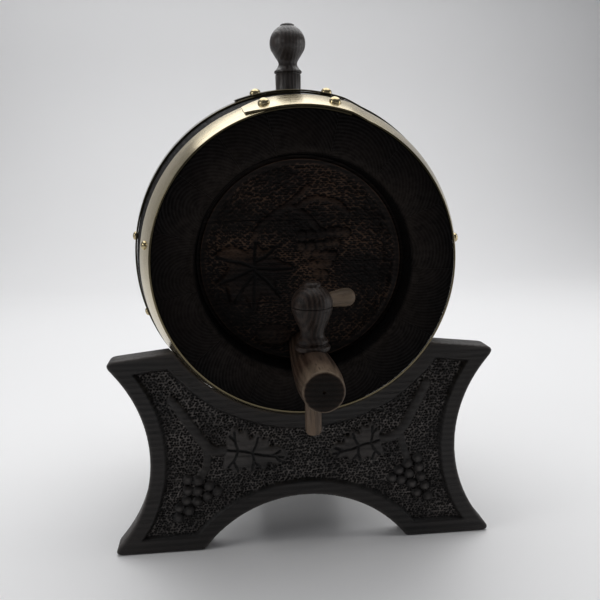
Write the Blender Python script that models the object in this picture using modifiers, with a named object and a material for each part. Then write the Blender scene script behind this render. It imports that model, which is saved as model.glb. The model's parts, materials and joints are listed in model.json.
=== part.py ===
"""A small oak cask lying on a carved stand, with a turned bung on top and a turned tap in its head.

Metres, +Z up. The origin is on the floor, under the middle of the whole object's bounding box.
The cask lies along Y, and its tapped front head faces -Y.
Angles round the cask are measured from the top, clockwise as seen from the front.
"""

from math import atan, cos, pi, radians, sin, sqrt

import bmesh
import bpy
from mathutils import Matrix, Vector

MM = 0.001
GAP = 0.3 * MM                      # what pieces that meet face to face keep between them

# Cask
CASK_LENGTH = 190 * MM
AXIS_HEIGHT = 198 * MM              # cask's axis above the floor
BELLY_RADIUS = 113.5 * MM           # outside of the staves at mid-length
CHIME_RADIUS = 96 * MM              # outside of the staves at both ends
STAVE_THICKNESS = 22 * MM
END_BORE = 69.5 * MM                # inside radius of the staves in front of each head
CHIME_CHAMFER = 4.2 * MM
STAVE_WIDTHS = (27, 26, 27, 26.5, 27.5, 27.5, 28, 27.7, 26.3, 28, 26, 23, 20, 19.5)   # degrees each
STAVE_STEPS = 3                     # facets across a stave
CURVE_STEPS = 8                     # facets along a stave

# Heads, let into the croze groove at both ends of the staves
HEAD_DEPTH = 24 * MM                # head's face behind the chime
HEAD_THICKNESS = 14 * MM
CROZE_FRONT = 26 * MM
CROZE_WIDTH = 8 * MM
CROZE_DEPTH = 4 * MM
HOWEL_END = 52 * MM                 # where the staves reach their full inside radius
BOARD_JOINTS = (-27 * MM, 27 * MM)  # heights of the joints between a head's boards, from the axis
HEAD_SIDES = 42
HEAD_CLEARANCE = 0.7 * MM           # between a head's rim and the faceted staves

# Hoops, each a riveted strip: (name, near edge from the chime, width)
HOOPS = (("chime", 0.0, 26 * MM), ("bilge", 56 * MM, 20 * MM))
HOOP_THICKNESS = 1.1 * MM
HOOP_CLEARANCE = 0.4 * MM
HOOP_SIDES = 56
LAP_STEPS = 6                       # facets by which the strip's ends overlap
LAP_START = 18                      # degrees, end of the lower strip
LAP_CLIP = 0.55                     # width left at the clipped end of the upper strip
RIVET_ANGLES = (-13, 12)
NAIL_ANGLES = {"chime": (82, 278), "bilge": (82, 250, 278)}
RIVET_HEAD = (3.85 * MM, 3.2 * MM)  # radius, height
RIVET_SHANK = 1.2 * MM
NAIL_HEAD = (3.0 * MM, 2.0 * MM)
NAIL_SHANK = 0.9 * MM
NAIL_LENGTH = 10 * MM

# Bung, with heights measured from the cask's belly
BUNG_RADIUS = 9.1 * MM              # of the plug, where it enters the belly
BUNG_TAPER = 0.03                   # change of the plug's radius per height
BUNG_BALL_HEIGHT = 36.1 * MM
BUNG_BALL_RADIUS = 13.0 * MM
BUNG_FOOT = -24.5 * MM

# Tap
TAP_REACH = 80 * MM                 # how far the tap's end stands out of the chime
TAP_DROP = 58 * MM                  # tap's axis below the cask's
TAP_TAIL = 50 * MM                  # how far its tail goes in past the chime
KEY_REACH = 31 * MM                 # key's axis in front of the chime
TAP_BORE = 3 * MM
KEY_BORE = 2.2 * MM
KEY_SEAT = 10.8 * MM                # flat under the key's collar, above the tap's axis
KEY_TOP_RADIUS = 7.0 * MM
KEY_FOOT_RADIUS = 5.1 * MM
KEY_TAPER_FOOT = -14 * MM
KEY_FOOT = -41.8 * MM
KEY_BALL_HEIGHT = 38.7 * MM
KEY_BALL_RADIUS = 12.45 * MM
LEVER_REACH = 31.5 * MM
LEVER_ROOT_RADIUS = 4.5 * MM
LEVER_END_RADIUS = 5.6 * MM
LEVER_SOCKET = 5 * MM               # bottom of the lever's socket, from the key's axis
LEVER_RISE = 1.5 * MM               # lever's axis above the middle of the key's ball
LEVER_TURN = 25                     # degrees from +X towards the cask
TURNED_SIDES = 24

# Stand
PLATE_THICKNESS = 16 * MM
FRONT_PLATE_FACE = 13 * MM          # plate's outer face behind the front chime
BORDER = 10.5 * MM
FIELD_DEPTH = 3 * MM
SEAT_CLEARANCE = 0.4 * MM
RAIL_SECTION = (14 * MM, 28 * MM)   # width, height
RAIL_X = 50 * MM
RAIL_Z = 66 * MM
TENON_LENGTH = 8 * MM
TENON_SHOULDER = 2.5 * MM
SCREW_HEAD = (4 * MM, 3 * MM)
SCREW_SHANK = 1.7 * MM
SCREW_LENGTH = 26 * MM
# Outlines of the plates: horn tip, slope of the horn's top, side arc, arch, corner rounding
FRONT_PLATE = {"tip": 136 * MM, "slope": 0.11, "side": (198.8 * MM, 68.7 * MM, 93.8 * MM),
               "arch": (-52.3 * MM, 88.4 * MM), "corner": 10 * MM}
REAR_PLATE = {"tip": 122 * MM, "slope": 0.11, "side": (151 * MM, 62 * MM, 86 * MM),
              "arch": (-24 * MM, 48 * MM), "corner": 8 * MM}

HALF = CASK_LENGTH / 2
CASK_Y = TAP_REACH / 2              # the tap's reach moves the cask back from the origin
CHIME_Y = CASK_Y - HALF             # plane of the front chime
KEY_Y = CHIME_Y - KEY_REACH
TAP_Z = AXIS_HEIGHT - TAP_DROP
BUNG_Z = AXIS_HEIGHT + BELLY_RADIUS
TO_CASK = Matrix.Translation((0, CASK_Y, AXIS_HEIGHT)) @ Matrix.Rotation(-pi / 2, 4, "X")


def outer_radius(along):
    """Outside of the staves at a distance along the axis from mid-length."""
    return BELLY_RADIUS - (BELLY_RADIUS - CHIME_RADIUS) * (along / HALF) ** 2


def inner_radius(along):
    return outer_radius(along) - STAVE_THICKNESS


def round_cask(angle, radius, along):
    """Point at an angle in degrees from the top, a radius, and a distance behind mid-length."""
    turn = radians(angle)
    return Vector((radius * sin(turn), CASK_Y + along, AXIS_HEIGHT + radius * cos(turn)))


def clear_scene():
    for obj in list(bpy.data.objects):
        bpy.data.objects.remove(obj, do_unlink=True)


def make_collection(name):
    collection = bpy.data.collections.new(name)
    bpy.context.scene.collection.children.link(collection)
    return collection


def make_material(name, colour, roughness, metallic=0.0):
    material = bpy.data.materials.new(name)
    material.use_nodes = True
    shader = material.node_tree.nodes["Principled BSDF"]
    shader.inputs["Base Color"].default_value = (*colour, 1)
    shader.inputs["Roughness"].default_value = roughness
    shader.inputs["Metallic"].default_value = metallic
    return material


WOODS = {
    "stave": ((0.022, 0.015, 0.012), 0.5),
    "head": ((0.030, 0.020, 0.015), 0.55),
    "turned": ((0.055, 0.036, 0.026), 0.45),
    "tap": ((0.110, 0.072, 0.048), 0.5),
    "stand": ((0.035, 0.027, 0.022), 0.55),
}
METALS = {"brass": ((0.70, 0.56, 0.28), 0.22), "steel": ((0.45, 0.44, 0.42), 0.35)}


def new_object(name, data, finish, collection):
    obj = bpy.data.objects.new(name, data)
    collection.objects.link(obj)
    if finish:
        colour, roughness = {**WOODS, **METALS}[finish]
        metallic = 1.0 if finish in METALS else 0.0
        data.materials.append(make_material(name, colour, roughness, metallic))
    return obj


def mesh_object(name, bm, finish, collection, smooth=True):
    mesh = bpy.data.meshes.new(name)
    bm.to_mesh(mesh)
    bm.free()
    if smooth:
        mesh.shade_smooth()
        mesh.set_sharp_from_angle(angle=radians(40))
    return new_object(name, mesh, finish, collection)


def hide_cutter(obj):
    obj.hide_render = True
    obj.display_type = "WIRE"
    return obj


def turned(name, profile, finish, collection, sides=TURNED_SIDES):
    """A piece turned about Z. The profile runs from the top of the axis down to its foot."""
    bm = bmesh.new()
    verts = [bm.verts.new((radius, 0, height)) for radius, height in profile]
    for first, second in zip(verts, verts[1:]):
        bm.edges.new((first, second))
    obj = mesh_object(name, bm, finish, collection)
    screw = obj.modifiers.new("Turn", "SCREW")
    screw.steps = sides
    screw.render_steps = sides
    screw.use_merge_vertices = True
    screw.merge_threshold = 0.00001
    return obj


def cut(obj, cutter, operation="DIFFERENCE"):
    boolean = obj.modifiers.new("Cut by " + cutter.name, "BOOLEAN")
    boolean.operation = operation
    boolean.object = cutter
    boolean.solver = "EXACT"


def cone_cutter(name, start, end, start_radius, end_radius, sides=TURNED_SIDES):
    """A round cutter from one point to another."""
    start, end = Vector(start), Vector(end)
    bm = bmesh.new()
    bmesh.ops.create_cone(bm, cap_ends=True, segments=sides, radius1=start_radius,
                          radius2=end_radius, depth=(end - start).length)
    obj = hide_cutter(mesh_object(name, bm, None, CUTTERS))
    obj.location = (start + end) / 2
    obj.rotation_mode = "QUATERNION"
    obj.rotation_quaternion = Vector((0, 0, 1)).rotation_difference(end - start)
    return obj


def box_cutter(name, centre, size):
    bm = bmesh.new()
    bmesh.ops.create_cube(bm, size=1)
    bmesh.ops.scale(bm, vec=size, verts=bm.verts)
    obj = hide_cutter(mesh_object(name, bm, None, CUTTERS, smooth=False))
    obj.location = centre
    return obj


def stave_profile():
    """Section of a stave as (radius, distance from mid-length), with the croze at both ends."""
    croze = HALF - CROZE_FRONT
    end = [
        (END_BORE + CHIME_CHAMFER, HALF),
        (END_BORE, HALF - CHIME_CHAMFER),
        (END_BORE, croze),
        (END_BORE + CROZE_DEPTH, croze),
        (END_BORE + CROZE_DEPTH, croze - CROZE_WIDTH),
        (END_BORE + 1 * MM, croze - CROZE_WIDTH),
        (inner_radius(HALF - HOWEL_END), HALF - HOWEL_END),
    ]
    middle = [(inner_radius(0.5 * (HALF - HOWEL_END)), 0.5 * (HALF - HOWEL_END)), (inner_radius(0), 0.0)]
    near = [(radius, -along) for radius, along in end + middle[:1]]
    outside = []
    for step in range(CURVE_STEPS + 1):
        along = HALF - CASK_LENGTH * step / CURVE_STEPS
        outside.append((outer_radius(along), along))
    return outside + near + middle[1:] + (end + middle[:1])[::-1]


def make_staves():
    staves = []
    start = -STAVE_WIDTHS[0] / 2
    joint = 0.5 * GAP / CHIME_RADIUS
    for number, width in enumerate(STAVE_WIDTHS, 1):
        bm = bmesh.new()
        verts = [bm.verts.new((0, along, radius)) for radius, along in stave_profile()]
        face = bm.faces.new(verts)
        first = radians(start) + joint
        sweep = radians(width) - 2 * joint
        bmesh.ops.rotate(bm, verts=verts, matrix=Matrix.Rotation(first, 3, "Y"))
        bmesh.ops.spin(bm, geom=[face, *face.edges, *face.verts], cent=(0, 0, 0), axis=(0, 1, 0),
                       angle=sweep, steps=STAVE_STEPS, use_duplicate=False)
        bmesh.ops.recalc_face_normals(bm, faces=bm.faces)
        stave = mesh_object(f"stave_{number:02d}", bm, "stave", PARTS)
        stave.location = (0, CASK_Y, AXIS_HEIGHT)
        staves.append((start, start + width, stave))
        start += width
    return staves


def stave_at(staves, angle):
    """The stave that an angle falls on."""
    for low, high, stave in staves:
        if low <= angle < high:
            return stave
    return staves[0][2]


def make_head(end, facing):
    """Three boards in a disc whose tongue sits in the croze. Facing is -1 at the front."""
    wall = END_BORE
    tongue = CROZE_FRONT - HEAD_DEPTH
    profile = [
        (0, 0),
        (wall - HEAD_CLEARANCE, 0),
        (wall - HEAD_CLEARANCE, -tongue - GAP),
        (wall + CROZE_DEPTH - HEAD_CLEARANCE, -tongue - GAP),
        (wall + CROZE_DEPTH - HEAD_CLEARANCE, -tongue - CROZE_WIDTH + GAP),
        (wall - HEAD_CLEARANCE, -tongue - CROZE_WIDTH + GAP),
        (wall - 5 * MM, -HEAD_THICKNESS),
        (0, -HEAD_THICKNESS),
    ]
    edges = [-CHIME_RADIUS, *BOARD_JOINTS, CHIME_RADIUS]
    boards = []
    for name, low, high in zip(("lower", "middle", "upper"), edges, edges[1:]):
        board = turned(f"{end}_head_{name}", profile, "head", PARTS, HEAD_SIDES)
        board.location = (0, CASK_Y + facing * (HALF - HEAD_DEPTH), AXIS_HEIGHT)
        board.rotation_euler = (-facing * pi / 2, 0, 0)
        slab = box_cutter(
            f"{end} {name} board",
            (0, board.location.y, AXIS_HEIGHT + (low + high) / 2),
            (2 * CHIME_RADIUS, 4 * HEAD_THICKNESS, high - low - GAP),
        )
        cut(board, slab, "INTERSECT")
        boards.append(board)
    return boards


def hoop_offset(step):
    """Height of the strip's inner face above the wood: its last facets climb over its start."""
    climb = min(max(step - (HOOP_SIDES - 1), 0), 1)
    return HOOP_CLEARANCE + climb * (HOOP_THICKNESS + GAP)


def make_hoop(name, near_edge, width, facing):
    """A strip bent round the staves, with its end lapped over its start at the top."""
    steps = HOOP_SIDES + LAP_STEPS
    rows = 2
    bm = bmesh.new()
    grid = bmesh.ops.create_grid(bm, x_segments=steps, y_segments=rows, size=0.5)["verts"]
    for vert in grid:
        step = round((vert.co.x + 0.5) * steps)
        across = vert.co.y
        if step == steps:
            across *= LAP_CLIP
        along = -facing * (near_edge + width * (0.5 + across) - HALF)
        radius = outer_radius(along) + hoop_offset(step)
        vert.co = round_cask(LAP_START - 360 * step / HOOP_SIDES, radius, along)
    first = bm.faces[:][0]
    first.normal_update()
    centre = first.calc_center_median() - Vector((0, CASK_Y, AXIS_HEIGHT))
    if first.normal.dot(centre) < 0:
        bmesh.ops.reverse_faces(bm, faces=bm.faces)
    hoop = mesh_object(name, bm, "brass", PARTS)
    solidify = hoop.modifiers.new("Thickness", "SOLIDIFY")
    solidify.thickness = HOOP_THICKNESS
    solidify.offset = 1
    return hoop


def fastener_profile(head, shank, length):
    radius, height = head
    return [(0, height), (0.55 * radius, 0.86 * height), (0.9 * radius, 0.45 * height), (radius, 0),
            (shank, 0), (shank, -length), (0, -length)]


def set_on_cask(obj, angle, along, above):
    """Stands a turned piece on the cask, square to its surface."""
    slope = atan(2 * (BELLY_RADIUS - CHIME_RADIUS) * along / HALF ** 2)
    turn = Matrix.Rotation(radians(angle), 4, "Y") @ Matrix.Rotation(-slope, 4, "X")
    normal = (turn @ Vector((0, 0, 1))).normalized()
    obj.location = round_cask(angle, outer_radius(along), along) + normal * above
    obj.rotation_euler = turn.to_euler()
    return normal


def hole_for(obj, fastener, normal, radius, length):
    """Cuts the fastener's hole in a piece, from above its head down past its foot."""
    foot = fastener.location - normal * length
    cutter = cone_cutter(f"{obj.name} hole for {fastener.name}", foot,
                         fastener.location + normal * 4 * MM, radius, radius, 10)
    cut(obj, cutter)


def make_fasteners(hoop, name, along, kind, staves):
    over_lap = HOOP_CLEARANCE + 2 * HOOP_THICKNESS + 2 * GAP
    for side, angle in zip(("left", "right"), RIVET_ANGLES):
        profile = fastener_profile(RIVET_HEAD, RIVET_SHANK, over_lap - HOOP_CLEARANCE)
        rivet = turned(f"{name}_rivet_{side}", profile, "brass", PARTS, 10)
        normal = set_on_cask(rivet, angle, along, over_lap)
        hole_for(hoop, rivet, normal, RIVET_SHANK + GAP, 5 * MM)
    over_strip = HOOP_CLEARANCE + HOOP_THICKNESS + GAP
    for number, angle in enumerate(NAIL_ANGLES[kind], 1):
        profile = fastener_profile(NAIL_HEAD, NAIL_SHANK, NAIL_LENGTH)
        nail = turned(f"{name}_nail_{number}", profile, "brass", PARTS, 10)
        normal = set_on_cask(nail, angle, along, over_strip)
        hole_for(hoop, nail, normal, NAIL_SHANK + GAP, 5 * MM)
        hole_for(stave_at(staves, angle), nail, normal, NAIL_SHANK + GAP, NAIL_LENGTH + 2 * GAP)


def make_hoops(staves):
    for end, facing in (("front", -1), ("rear", 1)):
        for kind, near_edge, width in HOOPS:
            name = f"{end}_{kind}"
            hoop = make_hoop(f"{name}_hoop", near_edge, width, facing)
            along = facing * (HALF - near_edge - width / 2)
            make_fasteners(hoop, name, along, kind, staves)


def ball_profile(radius, middle, top, foot, steps):
    """Points down a ball from one height to another, both measured from its middle."""
    points = []
    for step in range(steps + 1):
        height = top + (foot - top) * step / steps
        points.append((sqrt(radius ** 2 - height ** 2), middle + height))
    return points


def make_bung(top_stave):
    """A ball on a waisted neck, over a tapered plug that drops through the top stave."""
    button = [(0, 50.1), (3.3, 49.8), (5.0, 49.0), (5.3, 48.1)]
    neck = [(9.0, 26.4), (7.0, 23.3), (6.75, 21.9), (7.3, 20.2), (9.0, 17.7), (9.9, 17.0), (10.1, 15.7),
            (9.7, 15.1)]
    foot_radius = BUNG_RADIUS + BUNG_FOOT * BUNG_TAPER
    profile = [(radius * MM, height * MM) for radius, height in button]
    profile += ball_profile(BUNG_BALL_RADIUS, BUNG_BALL_HEIGHT, 11.6 * MM, -5 * MM, 6)
    profile += [(radius * MM, height * MM) for radius, height in neck]
    profile += [(BUNG_RADIUS, 0), (foot_radius, BUNG_FOOT), (0, BUNG_FOOT)]
    bung = turned("bung", profile, "turned", PARTS)
    bung.location = (0, CASK_Y, BUNG_Z)
    over, under = 5 * MM, -30 * MM
    hole = cone_cutter(
        "bung hole",
        (0, CASK_Y, BUNG_Z + under),
        (0, CASK_Y, BUNG_Z + over),
        BUNG_RADIUS + GAP + under * BUNG_TAPER,
        BUNG_RADIUS + GAP + over * BUNG_TAPER,
    )
    cut(top_stave, hole)


def make_tap(front_lower_board):
    """A bored body that tapers through the head, a key with its own bore, and the key's lever."""
    body_profile = [(0, 80), (11.0, 80), (11.7, 79), (12.8, 68), (13.1, 56), (12.6, 31), (11.4, 8),
                    (9.6, -22), (8.9, -40), (8.2, -50), (0, -50)]
    body = turned("tap_body", [(radius * MM, height * MM) for radius, height in body_profile], "tap", PARTS)
    body.location = (0, CHIME_Y, TAP_Z)
    body.rotation_euler = (pi / 2, 0, 0)
    head_y = CHIME_Y + HEAD_DEPTH
    head_hole = cone_cutter("tap hole", (0, head_y - 10 * MM, TAP_Z),
                            (0, head_y + HEAD_THICKNESS + 10 * MM, TAP_Z), 10.4 * MM, 9.0 * MM)
    cut(front_lower_board, head_hole)
    cut(body, cone_cutter("tap bore", (0, CHIME_Y + TAP_TAIL + 5 * MM, TAP_Z), (0, KEY_Y, TAP_Z),
                          TAP_BORE, TAP_BORE, 12))
    taper = (KEY_TOP_RADIUS - KEY_FOOT_RADIUS) / (KEY_SEAT - KEY_TAPER_FOOT)
    low, high = KEY_TAPER_FOOT - 4 * MM, KEY_SEAT + 8 * MM
    cut(body, cone_cutter("key hole", (0, KEY_Y, TAP_Z + low), (0, KEY_Y, TAP_Z + high),
                          KEY_FOOT_RADIUS + GAP - 4 * MM * taper, KEY_TOP_RADIUS + GAP + 8 * MM * taper))
    cut(body, cone_cutter("key hole foot", (0, KEY_Y, TAP_Z + low), (0, KEY_Y, TAP_Z),
                          KEY_FOOT_RADIUS + GAP, KEY_FOOT_RADIUS + GAP))
    cut(body, cone_cutter("key seat", (0, KEY_Y, TAP_Z + KEY_SEAT), (0, KEY_Y, TAP_Z + 3 * KEY_SEAT),
                          11.4 * MM, 11.4 * MM))

    button = [(0, 52.9), (3.6, 52.7), (5.4, 51.9), (5.7, 50.9), (5.6, 50.1)]
    neck = [(10.9, 31.2), (9.3, 27.9), (7.6, 24.4), (7.0, 21.7), (7.6, 19.4), (9.2, 17.4), (9.4, 16.1),
            (8.9, 14.7), (10.5, 13.6), (10.7, 12.4), (10.1, 11.1)]
    profile = [(radius * MM, height * MM) for radius, height in button]
    profile += ball_profile(KEY_BALL_RADIUS, KEY_BALL_HEIGHT, 10.4 * MM, -4 * MM, 5)
    profile += [(radius * MM, height * MM) for radius, height in neck]
    profile += [(KEY_TOP_RADIUS, KEY_SEAT + GAP), (KEY_FOOT_RADIUS, KEY_TAPER_FOOT),
                (KEY_FOOT_RADIUS, KEY_FOOT + 1 * MM), (KEY_FOOT_RADIUS - 1 * MM, KEY_FOOT), (0, KEY_FOOT)]
    key = turned("tap_key", profile, "turned", PARTS)
    key.location = (0, KEY_Y, TAP_Z)
    cut(key, cone_cutter("key spout", (0, KEY_Y, TAP_Z + KEY_FOOT - 2 * MM), (0, KEY_Y, TAP_Z + 1 * MM),
                         KEY_BORE, KEY_BORE, 12))
    cut(key, cone_cutter("key inlet", (0, KEY_Y, TAP_Z), (10 * MM, KEY_Y, TAP_Z), KEY_BORE, KEY_BORE, 12))

    end = LEVER_END_RADIUS
    lever_profile = [(0, LEVER_REACH), (0.5 * end, LEVER_REACH - 0.6 * MM), (0.85 * end, LEVER_REACH - 2.2 * MM),
                     (end, LEVER_REACH - 4.6 * MM), (0.97 * end, LEVER_REACH - 8 * MM),
                     (LEVER_ROOT_RADIUS, 12.5 * MM), (LEVER_ROOT_RADIUS, LEVER_SOCKET), (0, LEVER_SOCKET)]
    lever = turned("tap_lever", lever_profile, "tap", PARTS, 16)
    lever.location = (0, KEY_Y, TAP_Z + KEY_BALL_HEIGHT + LEVER_RISE)
    lever.rotation_euler = (0, pi / 2, radians(LEVER_TURN))
    turn = radians(LEVER_TURN)
    out = Vector((cos(turn), sin(turn), 0))
    cut(key, cone_cutter("lever socket", lever.location + out * (LEVER_SOCKET - GAP),
                         lever.location + out * 20 * MM, LEVER_ROOT_RADIUS + GAP,
                         LEVER_ROOT_RADIUS + GAP, 16))


def arc(centre, radius, start, end, steps):
    """Points on an arc between two points that lie on it, the short way round."""
    first = atan2_from(centre, start)
    last = atan2_from(centre, end)
    while last - first > pi:
        last -= 2 * pi
    while last - first < -pi:
        last += 2 * pi
    points = []
    for step in range(steps + 1):
        angle = first + (last - first) * step / steps
        points.append(Vector((centre[0] + radius * cos(angle), centre[1] + radius * sin(angle))))
    return points


def atan2_from(centre, point):
    return (Vector(point) - Vector(centre)).angle_signed(Vector((1, 0)))


def round_corner(before, corner, after, radius):
    """A short curve that replaces a corner."""
    start = corner + (before - corner).normalized() * radius
    end = corner + (after - corner).normalized() * radius
    points = []
    for step in range(4):
        t = step / 3
        points.append(start * (1 - t) ** 2 + corner * 2 * t * (1 - t) + end * t ** 2)
    return points


def plate_outline(plate, inset, cradle):
    """Outline of a plate, as (x, z): arched foot, hollow sides, horns, and a round cradle on top."""
    side_x, side_z, side_radius = plate["side"]
    side_radius += inset
    arch_z, arch_radius = plate["arch"]
    arch_radius += inset
    cradle += inset
    axis = Vector((0, AXIS_HEIGHT))
    arch_foot = Vector((sqrt(arch_radius ** 2 - (inset - arch_z) ** 2), inset))
    foot = Vector((side_x - sqrt(side_radius ** 2 - (inset - side_z) ** 2), inset))
    tip_z = plate["tip"] - inset
    tip = Vector((side_x - sqrt(side_radius ** 2 - (tip_z - side_z) ** 2), tip_z))
    rise = Vector((-1, plate["slope"])).normalized()
    reach = (axis - tip).dot(rise)
    miss = (axis - tip - rise * reach).length
    horn = tip + rise * (reach - sqrt(cradle ** 2 - miss ** 2))
    arch = arc((0, arch_z), arch_radius, (0, arch_z + arch_radius), arch_foot, 8)
    side = arc((side_x, side_z), side_radius, foot, tip, 9)
    seat = arc(axis, cradle, horn, (0, AXIS_HEIGHT - cradle), 10)
    corner = plate["corner"] if inset == 0 else 0.5 * plate["corner"]
    half = arch[:-1]
    half += round_corner(arch[-2], arch_foot, foot, 0.2 * corner)
    half += round_corner(arch_foot, foot, side[1], corner)
    half += side[1:-1]
    half += round_corner(side[-2], tip, horn, corner)
    half += round_corner(tip, horn, seat[1], 0.2 * corner)
    half += seat[1:]
    return half + [Vector((-point.x, point.y)) for point in half[-2:0:-1]]


def extruded(name, outline, thickness, y_middle, finish, collection):
    """A flat outline in X and Z, given thickness along Y. Its curve is turned into a mesh."""
    curve = bpy.data.curves.new(name, "CURVE")
    curve.dimensions = "2D"
    curve.fill_mode = "BOTH"
    curve.extrude = thickness / 2
    spline = curve.splines.new("POLY")
    spline.points.add(len(outline) - 1)
    for point, place in zip(spline.points, outline):
        point.co = (place.x, place.y, 0, 1)
    spline.use_cyclic_u = True
    source = new_object(name + " outline", curve, None, collection)
    source.location = (0, y_middle, 0)
    source.rotation_euler = (pi / 2, 0, 0)
    bpy.context.view_layer.update()
    evaluated = source.evaluated_get(bpy.context.evaluated_depsgraph_get())
    mesh = bpy.data.meshes.new_from_object(evaluated)
    bm = bmesh.new()
    bm.from_mesh(mesh)
    bmesh.ops.remove_doubles(bm, verts=bm.verts, dist=0.00001)
    bmesh.ops.recalc_face_normals(bm, faces=bm.faces)
    bm.to_mesh(mesh)
    bm.free()
    place = source.matrix_world.copy()
    bpy.data.objects.remove(source)
    bpy.data.curves.remove(curve)
    obj = new_object(name, mesh, finish, collection)
    obj.matrix_world = place
    return obj


def make_seat_cutter():
    """The hooped cask with its clearance, which gives both plates their tapered seats."""
    profile = []
    for step in range(CURVE_STEPS * 2 + 1):
        along = HALF - CASK_LENGTH * step / (CURVE_STEPS * 2)
        profile.append((outer_radius(along) + HOOP_CLEARANCE + HOOP_THICKNESS + SEAT_CLEARANCE, along))
    profile = [(0, HALF), *profile, (0, -HALF)]
    seat = hide_cutter(turned("seat", profile, None, CUTTERS, HOOP_SIDES))
    seat.matrix_world = TO_CASK
    return seat


def make_rail(name, x, start_y, end_y):
    """A rail with a shouldered tenon on both ends."""
    width, height = RAIL_SECTION
    bm = bmesh.new()
    bmesh.ops.create_cube(bm, size=1)
    bmesh.ops.scale(bm, vec=(width, end_y - start_y, height), verts=bm.verts)
    for sign in (-1, 1):
        bm.normal_update()
        end = [face for face in bm.faces if face.normal.y * sign > 0.9]
        bmesh.ops.inset_region(bm, faces=end, thickness=TENON_SHOULDER, use_even_offset=True)
        result = bmesh.ops.extrude_face_region(bm, geom=end)
        moved = [item for item in result["geom"] if isinstance(item, bmesh.types.BMVert)]
        bmesh.ops.translate(bm, verts=moved, vec=(0, sign * TENON_LENGTH, 0))
        bmesh.ops.delete(bm, geom=[face for face in end if face.is_valid], context="FACES")
    bmesh.ops.recalc_face_normals(bm, faces=bm.faces)
    rail = mesh_object(name, bm, "stand", PARTS, smooth=False)
    rail.location = (x, (start_y + end_y) / 2, RAIL_Z)
    return rail


def make_stand():
    front_y = CHIME_Y + FRONT_PLATE_FACE + PLATE_THICKNESS / 2
    rear_y = 2 * CASK_Y - front_y
    seat = make_seat_cutter()
    cradle = CHIME_RADIUS - 6 * MM
    front = extruded("front_cradle", plate_outline(FRONT_PLATE, 0, cradle), PLATE_THICKNESS, front_y,
                     "stand", PARTS)
    rear = extruded("rear_cradle", plate_outline(REAR_PLATE, 0, cradle), PLATE_THICKNESS, rear_y,
                    "stand", PARTS)
    cut(front, seat)
    cut(rear, seat)
    face_y = front_y - PLATE_THICKNESS / 2
    seat_radius = outer_radius(face_y - CASK_Y) + HOOP_CLEARANCE + HOOP_THICKNESS + SEAT_CLEARANCE
    field = extruded("carved field", plate_outline(FRONT_PLATE, BORDER, seat_radius), 2 * FIELD_DEPTH,
                     face_y, None, CUTTERS)
    cut(front, hide_cutter(field))

    start_y = front_y + PLATE_THICKNESS / 2 + GAP
    end_y = rear_y - PLATE_THICKNESS / 2 - GAP
    width, height = RAIL_SECTION
    mortise = (width - 2 * TENON_SHOULDER + 2 * GAP, 2 * (TENON_LENGTH + 2 * GAP),
               height - 2 * TENON_SHOULDER + 2 * GAP)
    for side, x in (("left", -RAIL_X), ("right", RAIL_X)):
        rail = make_rail(f"rail_{side}", x, start_y, end_y)
        cut(front, box_cutter(f"front mortise {side}", (x, start_y - GAP, RAIL_Z), mortise))
        cut(rear, box_cutter(f"rear mortise {side}", (x, end_y + GAP, RAIL_Z), mortise))
        back = rear_y + PLATE_THICKNESS / 2
        head_radius, head_height = SCREW_HEAD
        profile = [(0, 0), (head_radius, 0), (head_radius, -0.5 * MM), (SCREW_SHANK, -head_height),
                   (SCREW_SHANK, -SCREW_LENGTH), (0, -SCREW_LENGTH)]
        screw = turned(f"rear_screw_{side}", profile, "steel", PARTS, 16)
        screw.location = (x, back - GAP, RAIL_Z)
        screw.rotation_euler = (-pi / 2, 0, 0)
        tip = (x, back - SCREW_LENGTH - 2 * GAP, RAIL_Z)
        shank_hole = cone_cutter(f"screw hole {side}", tip, (x, back + 1 * MM, RAIL_Z),
                                 SCREW_SHANK + GAP, SCREW_SHANK + GAP, 16)
        sink = cone_cutter(f"countersink {side}", (x, back - head_height - GAP, RAIL_Z),
                           (x, back + 1 * MM, RAIL_Z), SCREW_SHANK + GAP, head_radius + 1.5 * MM, 16)
        cut(rear, shank_hole)
        cut(rear, sink)
        cut(rail, shank_hole)


clear_scene()
PARTS = make_collection("oak_wine_barrel")
CUTTERS = make_collection("cutters")
all_staves = make_staves()
make_hoops(all_staves)
front_boards = make_head("front", -1)
make_head("rear", 1)
make_bung(all_staves[0][2])
make_tap(front_boards[0])
make_stand()
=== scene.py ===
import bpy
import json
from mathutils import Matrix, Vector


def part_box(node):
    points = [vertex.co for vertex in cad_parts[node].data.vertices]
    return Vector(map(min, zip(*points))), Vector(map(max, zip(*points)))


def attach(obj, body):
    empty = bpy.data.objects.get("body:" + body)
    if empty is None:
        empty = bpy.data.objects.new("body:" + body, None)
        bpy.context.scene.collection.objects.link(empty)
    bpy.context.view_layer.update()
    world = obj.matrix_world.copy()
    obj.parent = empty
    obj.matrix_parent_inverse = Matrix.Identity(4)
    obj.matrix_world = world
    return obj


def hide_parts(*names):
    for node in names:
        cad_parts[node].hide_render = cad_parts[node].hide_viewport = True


bl_info = {
    "name": "Oak Wine Barrel",
    "version": (1, 0, 0),
    "blender": (4, 5, 0),
    "location": "View3D > Sidebar > Barrel",
    "description": "Finishes a small carved oak cask on its stand, with brass hoops, a bung and a wooden tap",
    "category": "Add Mesh",
}

import json
from math import atan, cos, pi, radians, sin, sqrt

import bmesh
import bpy
import numpy as np
from bpy.props import FloatProperty, FloatVectorProperty, IntProperty, PointerProperty
from mathutils import Matrix, Vector

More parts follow.
